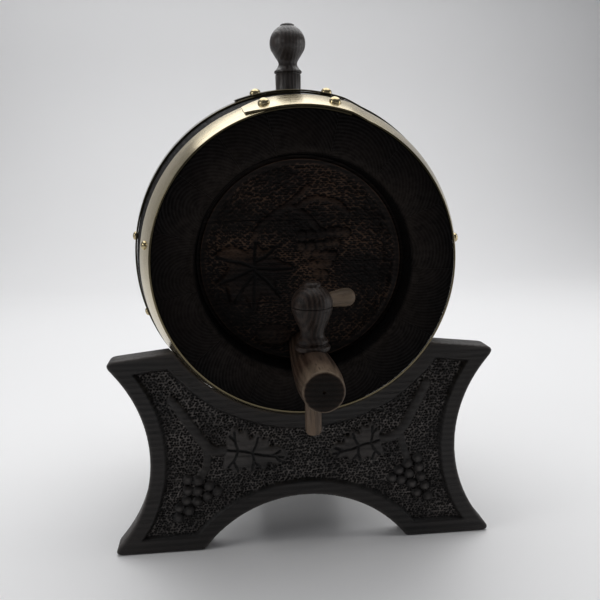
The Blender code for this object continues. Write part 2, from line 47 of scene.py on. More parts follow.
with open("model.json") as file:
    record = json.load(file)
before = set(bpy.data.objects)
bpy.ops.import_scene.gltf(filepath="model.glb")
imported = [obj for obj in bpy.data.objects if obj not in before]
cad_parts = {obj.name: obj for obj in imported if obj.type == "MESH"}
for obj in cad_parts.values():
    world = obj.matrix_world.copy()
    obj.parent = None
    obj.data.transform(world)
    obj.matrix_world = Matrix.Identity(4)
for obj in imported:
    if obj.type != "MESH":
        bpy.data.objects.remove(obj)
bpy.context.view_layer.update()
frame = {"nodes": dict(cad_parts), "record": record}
MM = 0.001

# Places, read from the frame
JOINTS = {joint["name"]: joint for joint in frame["record"]["behaviour"]["joints"]}
CHIME_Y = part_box("stave_01")[0][1]
REAR_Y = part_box("stave_01")[1][1]
CASK_Y = (CHIME_Y + REAR_Y) / 2
HALF = (REAR_Y - CHIME_Y) / 2
AXIS_Z = (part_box("front_head_middle")[0][2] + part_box("front_head_middle")[1][2]) / 2
HEAD_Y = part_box("front_head_middle")[0][1]
HEAD_BACK_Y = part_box("front_head_middle")[1][1]
BOARD_JOINTS = (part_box("front_head_lower")[1][2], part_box("front_head_upper")[0][2])
KEY_X, KEY_Y, TAP_Z = JOINTS["key_turn"]["pos_m"]
TAP_FRONT_Y, TAP_BACK_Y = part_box("tap_body")[0][1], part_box("tap_body")[1][1]
PLATE_FACE_Y, PLATE_BACK_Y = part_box("front_cradle")[0][1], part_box("front_cradle")[1][1]

# Cask
BELLY_RADIUS = 113.5 * MM           # outside of the staves at mid-length
CHIME_RADIUS = 96 * MM              # outside of the staves at both ends
STAVE_THICKNESS = 22 * MM
END_BORE = 69.5 * MM                # inside radius of the staves in front of each head
CHIME_CHAMFER = 4.2 * MM
CROZE_FRONT, CROZE_WIDTH, CROZE_DEPTH = 26 * MM, 8 * MM, 4 * MM
HOWEL_END = 52 * MM
HEAD_RADIUS = END_BORE - 0.5 * MM
OUTSIDE_STEPS = 49                  # points along the outside of a stave, before its two rims
STAVE_STEPS = 22                    # points across a stave, before those beside its joints
JOINT_SHARE = 0.012                 # share of a stave's width that is eased at each joint
BUNG_Z = AXIS_Z + BELLY_RADIUS
BUNG_RADIUS, BUNG_TAPER, BUNG_GAP = 9.1 * MM, 0.03, 0.3 * MM
BUNG_STAVE = "stave_01"

# Hoops: (name, near edge from the chime, width)
HOOPS = (("chime", 0.0, 26 * MM), ("bilge", 56 * MM, 20 * MM))
HOOP_GAP = 0.4 * MM
HOOP_THICKNESS = 1.1 * MM
LAP_GAP = 0.3 * MM
LAP_STRETCH = (24.4, 18.0, -14.2, -20.6)   # degrees: climb begins, climb ends, clip begins, strip ends
RIVET_ANGLES = (-13, 12)
NAIL_ANGLES = {"chime": (82, 278), "bilge": (82, 250, 278)}

# Tap: radii of its holes, front or foot first, and where the key's collar sits
TAP_HOLE = (10.4 * MM, 9.0 * MM)
TAP_BORE = 3 * MM
KEY_SEAT_HEIGHT, KEY_SEAT_RADIUS = 10.8 * MM, 11.4 * MM
KEY_HOLE = (5.2 * MM, 7.9 * MM)
KEY_HOLE_REACH = 18 * MM

# Front plate's outline: horn tip, slope of the horn's top, side arc, arch, corner rounding
PLATE = {"tip": 136 * MM, "slope": 0.11, "side": (198.8 * MM, 68.7 * MM, 93.8 * MM),
         "arch": (-52.3 * MM, 88.4 * MM), "corner": 10 * MM}
BORDER = 10.5 * MM
SEAT_GAP = 0.4 * MM

# Stage: the camera's place and turns in degrees, and each light's name, place, size and power
CAMERA_PLACE = (-0.0501, -0.4908, 0.2577)
CAMERA_TURN, CAMERA_DIP, CAMERA_ROLL = -6.06, 10.56, -0.9
LIGHTS = (("overhead", (0.05, 0.45, 1.4), 1.9, 26.0), ("left", (-1.1, -0.35, 0.6), 0.45, 2.4),
          ("right", (1.2, 0.05, 0.35), 0.7, 3.2))
BACKDROP_BEND, BACKDROP_WALL, BACKDROP_HALF = 0.6, 1.6, 9.0

# Carving on the plate, as (x, z) in millimetres
LEAVES = (((-54, 71.8), (-12.5, 64.0), 1), ((52, 73.0), (16.5, 64.2), -1))
STEMS = (((-89, 108), (-83, 99), (-76, 88), (-68, 76), (-61, 71), (-52, 71.5)),
         ((84, 112), (77, 98), (70, 84), (63, 76), (55, 73.5), (48, 73)))
TENDRILS = (((-69, 77), (-67, 69), (-67.5, 61), (-71, 54)), ((66, 79), (67.5, 71), (69.5, 64), (72, 57)))
BERRIES_LEFT = ((-80.8, 51.7), (-73.9, 50.6), (-66.6, 46.2), (-81.1, 43.8), (-74.4, 43.1), (-67.8, 38.6),
                (-60.9, 41.9), (-75.2, 35.6), (-87.3, 31.6), (-80.8, 28.9), (-88.3, 24.6), (-82.0, 36.6))
BERRIES_RIGHT = ((78.7, 57.9), (71.7, 54.2), (65.6, 49.4), (79.8, 50.6), (72.9, 46.6), (60.6, 44.0),
                 (67.3, 41.9), (81.4, 43.6), (74.6, 39.0), (84.3, 36.8), (78.4, 31.8), (86.6, 28.8))

# Carving on the head, as (x, height above the cask's axis) in millimetres
HEAD_LEAF = ((-30, 15), (-36, 8), (-46, 12), (-58, 5), (-49, -3), (-58, -14), (-51, -17), (-47, -30),
             (-39, -23), (-32, -36), (-26, -22), (-14, -27), (-17, -13), (-3, -5), (-17, 3), (-14, 12),
             (-25, 8))
HEAD_VEINS = (((-30, 13), (-31, 5), (-31, -4), (-32.5, -32)), ((-31, -4), (-40, 0), (-48, 1), (-56, 4)),
              ((-31, -4), (-42, -9), (-54, -14)), ((-32, -8), (-39, -17), (-45, -27)),
              ((-31, -4), (-18, -5), (-6, -5)), ((-31, -6), (-23, -13), (-15, -23)),
             ((-31, 0), (-23, 4), (-16, 10)))
HEAD_STEMS = (((-31, 10), (-30, 17), (-27, 23), (-19, 30), (-7, 38), (5, 48)),
              ((-8, 37), (4, 30), (12, 20)), ((-1, 36), (10, 41), (24, 38), (31, 31)))
HEAD_BERRY_ROWS = ((17.5, -1, 34, 6), (10.6, -2, 27, 5), (3.8, 2, 24, 4), (-3.0, 6, 20, 3), (-9.5, 9, 16, 2))
HEAD_BUD = (-19, -50)


def outer_radius(along):
    """Outside of the staves at a distance along the axis from mid-length."""
    return BELLY_RADIUS - (BELLY_RADIUS - CHIME_RADIUS) * (along / HALF) ** 2


def smooth_step(low, high, value):
    t = np.clip((value - low) / (high - low), 0, 1)
    return t * t * (3 - 2 * t)


def smooth_curve(points, steps=5, closed=False):
    """Catmull-Rom curve through points of (a, b) or (a, b, sharp), broken at the sharp ones."""
    count = len(points)
    flat = [Vector(point[:2]) for point in points]
    sharp = [len(point) > 2 for point in points]
    curve = []
    for index in range(count if closed else count - 1):
        after = (index + 1) % count
        start, end = flat[index], flat[after]
        before = start if sharp[index] or (index == 0 and not closed) else flat[index - 1]
        beyond = end if sharp[after] or (index == count - 2 and not closed) else flat[(index + 2) % count]
        for step in range(steps):
            t = step / steps
            curve.append(0.5 * (2 * start + (end - before) * t
                                + (2 * before - 5 * start + 4 * end - beyond) * t ** 2
                                + (3 * start - before - 3 * end + beyond) * t ** 3))
    return curve if closed else curve + [flat[-1]]


# ---------------------------------------------------------------- meshes

def grid_faces(rows, columns, wrap_rows=False, wrap_columns=False):
    """Quads between the points of a grid."""
    index = np.arange(rows * columns).reshape(rows, columns)
    if wrap_rows:
        index = np.vstack([index, index[:1]])
    if wrap_columns:
        index = np.hstack([index, index[:, :1]])
    corners = (index[:-1, :-1], index[:-1, 1:], index[1:, 1:], index[1:, :-1])
    return np.stack(corners, -1).reshape(-1, 4).tolist()


def mesh_piece(name, points, faces):
    mesh = bpy.data.meshes.new(name)
    mesh.from_pydata(np.asarray(points).reshape(-1, 3).tolist(), [], faces)
    mesh.validate()
    obj = bpy.data.objects.new(name, mesh)
    bpy.context.scene.collection.objects.link(obj)
    return obj


def face_outwards(obj):
    bm = bmesh.new()
    bm.from_mesh(obj.data)
    bmesh.ops.recalc_face_normals(bm, faces=bm.faces)
    bm.to_mesh(obj.data)
    bm.free()


def points_of(obj):
    flat = np.empty(len(obj.data.vertices) * 3)
    obj.data.vertices.foreach_get("co", flat)
    return flat.reshape(-1, 3)


def swept_piece(name, rows):
    """A closed bar through a list of sections, each a closed loop with the same number of points."""
    columns = len(rows[0])
    last = (len(rows) - 1) * columns
    faces = grid_faces(len(rows), columns, wrap_columns=True)
    faces.append(list(range(columns)))
    faces.append(list(range(last, last + columns))[::-1])
    obj = mesh_piece(name, np.array(rows), faces)
    face_outwards(obj)
    return obj


def store_vectors(obj, name, vectors):
    layer = obj.data.attributes.new(name, "FLOAT_VECTOR", "POINT")
    layer.data.foreach_set("vector", np.array(vectors).ravel())


def set_grain(obj, across, along, pith):
    """Stores where each point lies in its plank: x and y across the grain, z along it."""
    along = Vector(along).normalized()
    across = Vector(across).normalized()
    third = along.cross(across)
    axes = np.array([across, third, along])
    store_vectors(obj, "grain", points_of(obj) @ axes.T + np.array(pith))


def set_wear_and_painted_light(obj, worn):
    """Stores a colour value for each point: above 0 it is lighter, for rubbed spots and painted highlights;
    below 0 it is darker, mostly painted shade in hollows, creases and edges.
    """
    layer = obj.data.attributes.new("worn", "FLOAT", "POINT")
    layer.data.foreach_set("value", np.asarray(worn, float))


def apply_modifiers(obj):
    """Turns the evaluated object into a plain mesh."""
    graph = bpy.context.evaluated_depsgraph_get()
    mesh = bpy.data.meshes.new_from_object(obj.evaluated_get(graph))
    obj.modifiers.clear()
    obj.data = mesh
    mesh.name = obj.name


def cut(obj, cutter, operation="DIFFERENCE", solver="MANIFOLD"):
    modifier = obj.modifiers.new("cut", "BOOLEAN")
    modifier.operation = operation
    modifier.solver = solver
    modifier.object = cutter
    apply_modifiers(obj)
    bpy.data.objects.remove(cutter)


def cone(name, start, end, radius_1, radius_2, sides=64):
    """A solid cone between two points, used as a cutter."""
    start, end = Vector(start), Vector(end)
    bm = bmesh.new()
    bmesh.ops.create_cone(bm, cap_ends=True, segments=sides, radius1=radius_1, radius2=radius_2,
                          depth=(end - start).length)
    turn = Vector((0, 0, 1)).rotation_difference(end - start).to_matrix().to_4x4()
    bm.transform(Matrix.Translation((start + end) / 2) @ turn)
    mesh = bpy.data.meshes.new(name)
    bm.to_mesh(mesh)
    bm.free()
    obj = bpy.data.objects.new(name, mesh)
    bpy.context.scene.collection.objects.link(obj)
    return obj


def turned_piece(name, profile, place, sides=96):
    """A piece turned about local Z: profile is (radius, height) points from one pole to the other."""
    inner = profile[1:-1]
    turn = np.linspace(0, 2 * pi, sides, endpoint=False)
    rings = [np.column_stack([r * np.cos(turn), r * np.sin(turn), np.full(sides, h)]) for r, h in inner]
    poles = [[0, 0, profile[0][1]], [0, 0, profile[-1][1]]]
    points = np.vstack([*rings, poles])
    matrix = np.array(place)
    points = points @ matrix[:3, :3].T + matrix[:3, 3]
    faces = grid_faces(len(inner), sides, wrap_columns=True)
    top, foot = len(points) - 2, len(points) - 1
    last = (len(inner) - 1) * sides
    for side in range(sides):
        faces.append((top, (side + 1) % sides, side))
        faces.append((foot, last + side, last + (side + 1) % sides))
    obj = mesh_piece(name, points, faces)
    face_outwards(obj)
    return obj


def in_metres(profile):
    return [(radius * MM, height * MM) for radius, height in profile]


def ball(radius, middle, top, foot, steps=14):
    """Points down a ball from one height to another, both measured from its middle, in millimetres."""
    heights = [top + (foot - top) * step / steps for step in range(steps + 1)]
    return [(sqrt(radius ** 2 - height ** 2), middle + height) for height in heights]


def finish_piece(obj, body, material, nodes=(), angle=35):
    obj.data.materials.clear()
    obj.data.materials.append(material)
    obj.data.shade_smooth()
    obj.data.set_sharp_from_angle(angle=radians(angle))
    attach(obj, body)
    if nodes:
        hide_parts(*nodes)


# ---------------------------------------------------------------- carving

def distance_to_path(x, z, path):
    """Distance from each point to an open path."""
    best = np.full(x.shape, 1e3)
    for (ax, az), (bx, bz) in zip(path, path[1:]):
        dx, dz = bx - ax, bz - az
        t = np.clip(((x - ax) * dx + (z - az) * dz) / (dx * dx + dz * dz + 1e-12), 0, 1)
        best = np.minimum(best, (x - ax - t * dx) ** 2 + (z - az - t * dz) ** 2)
    return np.sqrt(best)


def depth_inside(x, z, outline):
    """Distance from each point to a closed outline, negative outside it."""
    loop = [tuple(point) for point in outline]
    loop.append(loop[0])
    inside = np.zeros(x.shape, bool)
    for (ax, az), (bx, bz) in zip(loop, loop[1:]):
        if az != bz:
            crosses = (az > z) != (bz > z)
            inside ^= crosses & (x < (bx - ax) * (z - az) / (bz - az) + ax)
    return np.where(inside, 1, -1) * distance_to_path(x, z, loop)


def punch_marks(x, z, pitch, width, seed, stretch=1.0, scatter=0.3):
    """Depth, from 0 to 1, of round punch marks scattered on a loose grid."""
    random = np.random.default_rng(seed)
    size = 256
    jitter = random.uniform(-scatter, scatter, (size, size, 2))
    strength = random.uniform(0.6, 1.0, (size, size))
    u, v = x / (pitch * stretch), z / pitch
    u = u + 0.5 * (np.floor(v) % 2)
    depth = np.zeros(x.shape)
    for right in (-1, 0, 1):
        for up in (-1, 0, 1):
            column, row = np.floor(u) + right, np.floor(v) + up
            shift = jitter[column.astype(int) % size, row.astype(int) % size]
            du = u - (column + 0.5 + shift[..., 0])
            dv = v - (row + 0.5 + shift[..., 1])
            mark = 1 - (du ** 2 + dv ** 2) / (width / pitch) ** 2
            depth = np.maximum(depth, mark * strength[column.astype(int) % size, row.astype(int) % size])
    return np.clip(depth, 0, 1)


def waves(x, z, length, seed, count=7):
    """Soft uneven swell between about -1 and 1."""
    random = np.random.default_rng(seed)
    total = np.zeros(np.shape(x))
    for _ in range(count):
        heading, phase = random.uniform(0, 2 * pi, 2)
        reach = length * random.uniform(0.6, 1.6)
        total += np.sin(2 * pi * (x * cos(heading) + z * sin(heading)) / reach + phase)
    return total / sqrt(count)


VINE_LEAF = ((0.0, 0.0), (-0.04, 0.13), (-0.02, 0.28), (0.10, 0.43), (0.17, 0.34), (0.27, 0.40), (0.35, 0.26),
             (0.47, 0.37), (0.55, 0.27), (0.66, 0.30), (0.68, 0.17), (0.84, 0.19), (1.02, 0.02),
             (0.86, -0.15), (0.71, -0.14), (0.68, -0.29), (0.54, -0.25), (0.45, -0.38), (0.33, -0.27),
             (0.22, -0.42), (0.12, -0.33), (-0.01, -0.36), (-0.03, -0.14))
VINE_VEINS = (((-0.05, 0), (0.3, 0.015), (0.62, -0.01), (0.93, 0.0)), ((0.74, 0), (0.86, 0.10)),
              ((0.80, 0), (0.89, -0.08)), ((0.19, 0.01), (0.12, 0.15), (0.08, 0.31)),
              ((0.115, 0.17), (0.02, 0.24)), ((0.19, 0.01), (0.16, -0.14), (0.08, -0.28)),
              ((0.145, -0.17), (0.24, -0.32)), ((0.42, 0.01), (0.46, 0.13), (0.47, 0.27)),
              ((0.42, 0.01), (0.47, -0.12), (0.46, -0.28)), ((0.475, -0.14), (0.59, -0.22)))


def place_leaf(points, base, tip, side):
    """Leaf points, given along and across its main vein, turned and stretched onto base and tip."""
    base, tip = Vector(base), Vector(tip)
    along = tip - base
    across = Vector((-along.y, along.x)) * side
    return [base + along * u + across * v for u, v in points]


def carve_leaf(x, z, outline, veins, size=1.0):
    """Height of a leaf above its ground, how much of it is cut by veins, and the depth inside its edge."""
    depth = depth_inside(x, z, outline)
    blade = smooth_step(-0.3 * size, 1.9 * size, depth)
    swell = smooth_step(0, 7 * size, depth) * 0.35
    vein = np.zeros(x.shape)
    for path in veins:
        near = distance_to_path(x, z, [tuple(point) for point in path])
        vein = np.maximum(vein, 1 - smooth_step(0.25 * size, 0.95 * size, near))
    return blade * (1 + swell), vein * smooth_step(0, 0.8, depth), depth


def carve_berries(x, z, centres, radius):
    """Height, from 0 to 1, of round berries, each a dome."""
    height = np.zeros(x.shape)
    for cx, cz in centres:
        height = np.maximum(height, 1 - ((x - cx) ** 2 + (z - cz) ** 2) / radius ** 2)
    return np.sqrt(np.clip(height, 0, 1))


def carve_stem(x, z, path, radius):
    near = distance_to_path(x, z, [tuple(p) for p in smooth_curve(path, 4)])
    return np.sqrt(np.clip(1 - (near / radius) ** 2, 0, 1))


def plate_relief(x, z, depth, field_depth):
    """How far the plate's face lies behind its border, in millimetres, and a colour value: painted highlights
    on the rubbed rims round the punch marks and on the berry tops, and painted shade in the punch hollows,
    veins and creases.
    """
    border = BORDER / MM
    uneven = 0.25 * waves(x, z, 26, 3)
    ground = smooth_step(border - 0.9 + uneven, border + 1.7 + uneven, depth)
    leaf_height, vein = np.zeros(x.shape), np.zeros(x.shape)
    for leaf in LEAVES:
        outline = place_leaf(smooth_curve(VINE_LEAF, 3, closed=True), *leaf)
        height, cuts, _ = carve_leaf(x, z, outline, [place_leaf(path, *leaf) for path in VINE_VEINS])
        leaf_height, vein = np.maximum(leaf_height, height), np.maximum(vein, cuts)
    stem = np.zeros(x.shape)
    for path in STEMS:
        stem = np.maximum(stem, carve_stem(x, z, path, 3.6))
    for path in TENDRILS:
        stem = np.maximum(stem, 0.7 * carve_stem(x, z, path, 2.8))
    berries = carve_berries(x, z, BERRIES_LEFT + BERRIES_RIGHT, 3.9)
    raised = np.maximum.reduce([1.55 * leaf_height, 1.7 * stem, 2.5 * berries])
    plain = 1 - smooth_step(0.1, 0.8, raised)
    marks = punch_marks(x, z, 1.8, 0.9, 5) * ground * plain
    soft = 0.22 * waves(x, z, 9, 11) * ground
    behind = ground * (field_depth - raised) + 1.25 * marks + 0.9 * vein - soft
    edge = 1.6
    rounding = edge - np.sqrt(np.clip(edge ** 2 - np.clip(edge - depth, 0, edge) ** 2, 0, None))
    # Painted shade darkens the creases round the berries, the punch hollows, the veins, the foot of the
    # border's wall and the foot of the raised carving. The rims round the punch marks and the berry tops get
    # painted highlights; the rims are rubbed too.
    between = (1 - berries) * smooth_step(0.02, 0.3, berries)
    patches = 0.75 + 0.3 * waves(x, z, 30, 14)
    rubbed_lit_ridges = plain * (1 - smooth_step(0.0, 0.3, marks))
    pit_shade = plain * smooth_step(0.3, 0.7, marks)
    high = 0.16 * smooth_step(0.2, 1.0, leaf_height) * patches + 0.6 * rubbed_lit_ridges * patches - 1.1 * pit_shade
    high = (high + 0.05 + 0.2 * berries ** 3 - 1.7 * vein - 0.9 * between) * ground
    wall_foot_shade = np.exp(-((depth - border - 0.6) / 0.9) ** 2)
    crease_shade = np.exp(-(raised / 0.25) ** 2) * (1 - plain)
    worn = high + (1 - ground) * (0.03 + 0.25 * np.exp(-(depth / 1.6) ** 2)) - 0.5 * wall_foot_shade - 0.6 * crease_shade
    return behind + rounding, np.clip(worn, -1, 1)


def head_relief(x, z):
    """How far the head's carved face lies in front of its plain ground, in millimetres, and a colour value
    with painted shade in the chisel strokes, veins and creases and a painted highlight on the raised ring.
    """
    radius = np.hypot(x, z)
    ring = np.exp(-((radius - 66.4) / 0.55) ** 2) * (1 + 0.25 * waves(x, z, 20, 8))
    field = 1 - smooth_step(62.6, 65.4, radius + 0.35 * waves(x, z, 18, 21))
    outline = smooth_curve(HEAD_LEAF, 3, closed=True)
    leaf_height, vein, leaf_depth = carve_leaf(x, z, outline, HEAD_VEINS, 1.3)
    stem = np.zeros(x.shape)
    for path in HEAD_STEMS:
        stem = np.maximum(stem, carve_stem(x, z, path, 2.3))
    centres = []
    for height, low, high, count in HEAD_BERRY_ROWS:
        for n in range(count):
            across = low + (high - low) * (n + 0.5) / count
            centres.append((across + 0.9 * sin(5 * n + height), height + 1.1 * sin(7 * n + low)))
    berries = carve_berries(x, z, centres, 3.7)
    bud = carve_berries(x * 0.62, z, [(HEAD_BUD[0] * 0.62, HEAD_BUD[1])], 8.0)
    raised = np.maximum.reduce([1.2 * leaf_height, 0.8 * stem, 1.5 * berries, 1.6 * bud])
    plain = 1 - smooth_step(0.1, 0.8, raised)
    strokes = punch_marks(x, z, 1.4, 0.85, 17, stretch=2.2, scatter=0.27) * field * (0.4 + 0.6 * plain)
    soft = 0.2 * waves(x, z, 10, 31) * field
    front = -1.3 * field + raised * field + 0.7 * ring - 0.6 * strokes - 0.7 * vein * field + soft
    patches = 0.5 + 0.5 * waves(x, z, 40, 12)
    edge = np.exp(-((leaf_depth - 0.3) / 0.7) ** 2)
    on_leaf = smooth_step(0.2, 1.0, leaf_height)
    # Painted shade darkens the chisel strokes, the veins, the leaf's edge, the creases round the berries and
    # the plain rim next to the chime. The raised ring gets a painted highlight.
    worn = 0.12 + 0.75 * patches - 1.7 * smooth_step(0.15, 0.7, strokes) - 1.6 * vein - 0.5 * edge
    worn -= 0.45 * on_leaf + 0.35 * smooth_step(0, 0.5, stem) + 0.4 * smooth_step(0, 0.5, bud)
    worn -= 0.3 * smooth_step(0, 0.5, berries) + 0.6 * (1 - berries) * smooth_step(0.02, 0.3, berries)
    worn = worn * field + 0.8 * ring - 0.4 * (1 - field)
    return front, np.clip(worn, -1, 1)


# ---------------------------------------------------------------- materials

class Shading:
    """A new material, with short ways to add nodes to it. Every value is a socket or a number."""

    def __init__(self, name, roughness, metallic=0.0):
        self.material = bpy.data.materials.new(name)
        self.material.use_nodes = True
        self.nodes = self.material.node_tree.nodes
        self.shader = self.nodes["Principled BSDF"]
        self.shader.inputs["Roughness"].default_value = roughness
        self.shader.inputs["Metallic"].default_value = metallic

    def link(self, output, entry):
        self.material.node_tree.links.new(output, entry)

    def attribute(self, name, output):
        node = self.nodes.new("ShaderNodeAttribute")
        node.attribute_name = name
        return node.outputs[output]

    def object_coords(self):
        return self.nodes.new("ShaderNodeTexCoord").outputs["Object"]

    def noise(self, coords, scale, detail=3.0, roughness=0.55, stretch=(1, 1, 1)):
        mapping = self.nodes.new("ShaderNodeMapping")
        mapping.inputs["Scale"].default_value = stretch
        self.link(coords, mapping.inputs["Vector"])
        texture = self.nodes.new("ShaderNodeTexNoise")
        for socket, number in (("Scale", scale), ("Detail", detail), ("Roughness", roughness)):
            texture.inputs[socket].default_value = number
        self.link(mapping.outputs["Vector"], texture.inputs["Vector"])
        return texture.outputs["Fac"]

    def remap(self, value, low, high, to_low=0.0, to_high=1.0):
        node = self.nodes.new("ShaderNodeMapRange")
        self.link(value, node.inputs["Value"])
        numbers = {"From Min": low, "From Max": high, "To Min": to_low, "To Max": to_high}
        for socket, number in numbers.items():
            node.inputs[socket].default_value = number
        return node.outputs["Result"]

    def combine(self, operation, first, second):
        node = self.nodes.new("ShaderNodeMath")
        node.operation = operation
        for socket, value in zip(node.inputs, (first, second)):
            if isinstance(value, (int, float)):
                socket.default_value = value
            else:
                self.link(value, socket)
        return node.outputs["Value"]

    def mix(self, factor, first, second):
        """Mixes two colours, where each is a socket or a tuple."""
        node = self.nodes.new("ShaderNodeMix")
        node.data_type = "RGBA"
        self.link(factor, node.inputs["Factor"])
        colour_inputs = [socket for socket in node.inputs if socket.type == "RGBA"]
        for socket, colour in zip(colour_inputs, (first, second)):
            if isinstance(colour, tuple):
                socket.default_value = (*colour, 1)
            else:
                self.link(colour, socket)
        return [socket for socket in node.outputs if socket.type == "RGBA"][0]

    def finish(self, base, roughness, height=None, strength=0.0, distance=0.0):
        """Joins the colour, the roughness and the bumps to the shader."""
        self.link(base, self.shader.inputs["Base Color"])
        self.link(roughness, self.shader.inputs["Roughness"])
        if height is not None:
            bump = self.nodes.new("ShaderNodeBump")
            bump.inputs["Strength"].default_value = strength
            bump.inputs["Distance"].default_value = distance
            self.link(height, bump.inputs["Height"])
            self.link(bump.outputs["Normal"], self.shader.inputs["Normal"])
        return self.material


def scaled(colour, factor):
    return tuple(channel * factor for channel in colour)


def plank_coords(wood, along):
    """Grain coordinates of a plain plank whose grain follows one of its axes."""
    mapping = wood.nodes.new("ShaderNodeMapping")
    mapping.inputs["Rotation"].default_value = {"X": (0, -pi / 2, 0), "Y": (pi / 2, 0, 0)}[along]
    mapping.inputs["Location"].default_value = (0.06, 0.09, 0)
    wood.link(wood.object_coords(), mapping.inputs["Vector"])
    return mapping.outputs["Vector"]


def growth_rings(wood, coords, pitch):
    wave = wood.nodes.new("ShaderNodeTexWave")
    wave.wave_type = "RINGS"
    wave.rings_direction = "Z"
    numbers = {"Scale": 2 * pi / (20 * pitch), "Distortion": 1.6, "Detail": 2.0, "Detail Scale": 0.35}
    for socket, number in numbers.items():
        wave.inputs[socket].default_value = number
    wood.link(coords, wave.inputs["Vector"])
    return wave.outputs["Fac"]


def oak(name, colour, rubbed_and_highlight_colour, roughness=0.5, ring_pitch=3.2 * MM, along=None, grain_depth=0.16 * MM,
        contrast=1.0, shine=0.25):
    """Dark stained oak: growth rings, fibres, long streaks and open pores, lighter on rubbed spots and
    painted highlights, and darker where shade is painted.

    along is None for a piece with a grain attribute, or the axis that a plain plank's grain follows."""
    wood = Shading(name, roughness)
    wood.shader.inputs["Specular IOR Level"].default_value = shine
    coords = plank_coords(wood, along) if along else wood.attribute("grain", "Vector")
    fibres = wood.noise(coords, 1.0, 4, 0.6, (1500, 1500, 30))
    streaks = wood.noise(coords, 1.0, 3, 0.5, (260, 260, 7))
    patches = wood.noise(coords, 26.0, 3, 0.55)
    pores = wood.remap(wood.noise(coords, 1.0, 2, 0.5, (2300, 2300, 95)), 0.60, 0.70)
    rings = growth_rings(wood, coords, ring_pitch)
    tone = wood.combine("MULTIPLY", rings, 0.34)
    tone = wood.combine("ADD", tone, wood.combine("MULTIPLY", streaks, 0.38))
    tone = wood.combine("ADD", tone, wood.combine("MULTIPLY", fibres, 0.36))
    tone = wood.remap(tone, 0.38, 0.72)
    base = wood.mix(tone, scaled(colour, 1 - 0.5 * contrast), scaled(colour, 1 + 0.55 * contrast))
    warm = (colour[0] * 1.25, colour[1] * 0.95, colour[2] * 0.8)
    base = wood.mix(wood.remap(patches, 0.35, 0.7, 0, 0.6), base, warm)
    wear_light_and_shade = wood.attribute("worn", "Fac")
    # Rubbed spots and painted highlights take the lighter colour.
    rubbed = wood.combine("MULTIPLY", wood.remap(wear_light_and_shade, 0, 1), wood.remap(streaks, 0.3, 0.65, 0.4, 1))
    base = wood.mix(rubbed, base, rubbed_and_highlight_colour)
    # Painted shade: below 0 the colour is darkened.
    base = wood.mix(wood.remap(wear_light_and_shade, 0, -1, 0, 0.9), base, scaled(colour, 0.12))
    base = wood.mix(wood.combine("MULTIPLY", pores, 0.7), base, scaled(colour, 0.25))
    gloss = wood.remap(fibres, 0.3, 0.7, roughness - 0.08, roughness + 0.12)
    height = wood.combine("SUBTRACT", fibres, wood.combine("MULTIPLY", pores, 1.1))
    height = wood.combine("ADD", height, wood.combine("MULTIPLY", rings, 0.35))
    return wood.finish(base, gloss, height, 0.8, grain_depth)


def polished_brass(name, colour, rubbed, stretch):
    """Rolled brass strip: fine rubbing along its length, shallow dents, darker spots, and painted shade along
    the strip's edges.
    """
    brass = Shading(name, 0.2, metallic=1.0)
    coords = brass.attribute("strip", "Vector") if rubbed else brass.object_coords()
    lines = brass.noise(coords, 1.0, 3, 0.6, stretch)
    spots = brass.noise(coords, 130.0, 4, 0.65)
    dents = brass.noise(coords, 55.0, 2, 0.5)
    stained = (colour[0] * 0.72, colour[1] * 0.62, colour[2] * 0.45)
    base = brass.mix(brass.remap(spots, 0.52, 0.78, 0, 0.55), tuple(colour), stained)
    # Painted shade: darker along the strip's edges.
    painted_edge_shade = brass.remap(brass.attribute("worn", "Fac"), 0, -1, 0, 0.8)
    base = brass.mix(painted_edge_shade, base, scaled(colour, 0.12))
    height = brass.combine("ADD", brass.combine("MULTIPLY", lines, 0.06), dents)
    return brass.finish(base, brass.remap(lines, 0.3, 0.72, 0.13, 0.32), height, 0.35, 0.12 * MM)


def bright_steel(name):
    steel = Shading(name, 0.35, metallic=1.0)
    grime = steel.noise(steel.object_coords(), 900.0, 3, 0.6)
    base = steel.mix(grime, (0.10, 0.097, 0.092), (0.30, 0.29, 0.28))
    return steel.finish(base, steel.remap(grime, 0.3, 0.7, 0.28, 0.5))


def finish_cad_nodes(nodes, material):
    for name in nodes:
        slots = frame["nodes"][name].data.materials
        slots.clear()
        slots.append(material)


# ---------------------------------------------------------------- settings

def colour_setting(name, description, default):
    return FloatVectorProperty(
        name=name, description=description, subtype="COLOR", default=default, min=0, max=1)


def length_setting(name, description, default, least=0.0):
    return FloatProperty(name=name, description=description, default=default, min=least, unit="LENGTH")


class CaskSettings(bpy.types.PropertyGroup):
    stave_colour: colour_setting("Stave colour", "Stain on the staves", (0.0046, 0.0043, 0.0044))
    head_colour: colour_setting("Head colour", "Stain on the carved head", (0.0105, 0.0068, 0.0055))
    chime_wobble: length_setting(
        "Chime wobble", "How uneven the hand-cut bevel inside the chime is", 0.35 * MM)
    joint_easing: length_setting(
        "Joint easing", "How far a stave's edges are rounded off at its joints", 0.2 * MM)


class HoopSettings(bpy.types.PropertyGroup):
    brass_colour: colour_setting("Brass colour", "Colour of the hoops, rivets and nails", (0.49, 0.41, 0.245))
    thickness: length_setting("Strip thickness", "Thickness of each brass strip", HOOP_THICKNESS)
    rivet_radius: length_setting("Rivet head radius", "Radius of a rivet's round head", 3.85 * MM)
    nail_radius: length_setting("Nail head radius", "Radius of a nail's round head", 3.0 * MM)


class StandSettings(bpy.types.PropertyGroup):
    stand_colour: colour_setting("Stand colour", "Stain on the stand", (0.0090, 0.0080, 0.0077))
    field_depth: length_setting("Field depth", "How deep the carved field lies behind the border", 2.6 * MM)
    carving_pitch: length_setting(
        "Carving pitch", "Distance between the points of the carved face", 0.52 * MM, 0.3 * MM)


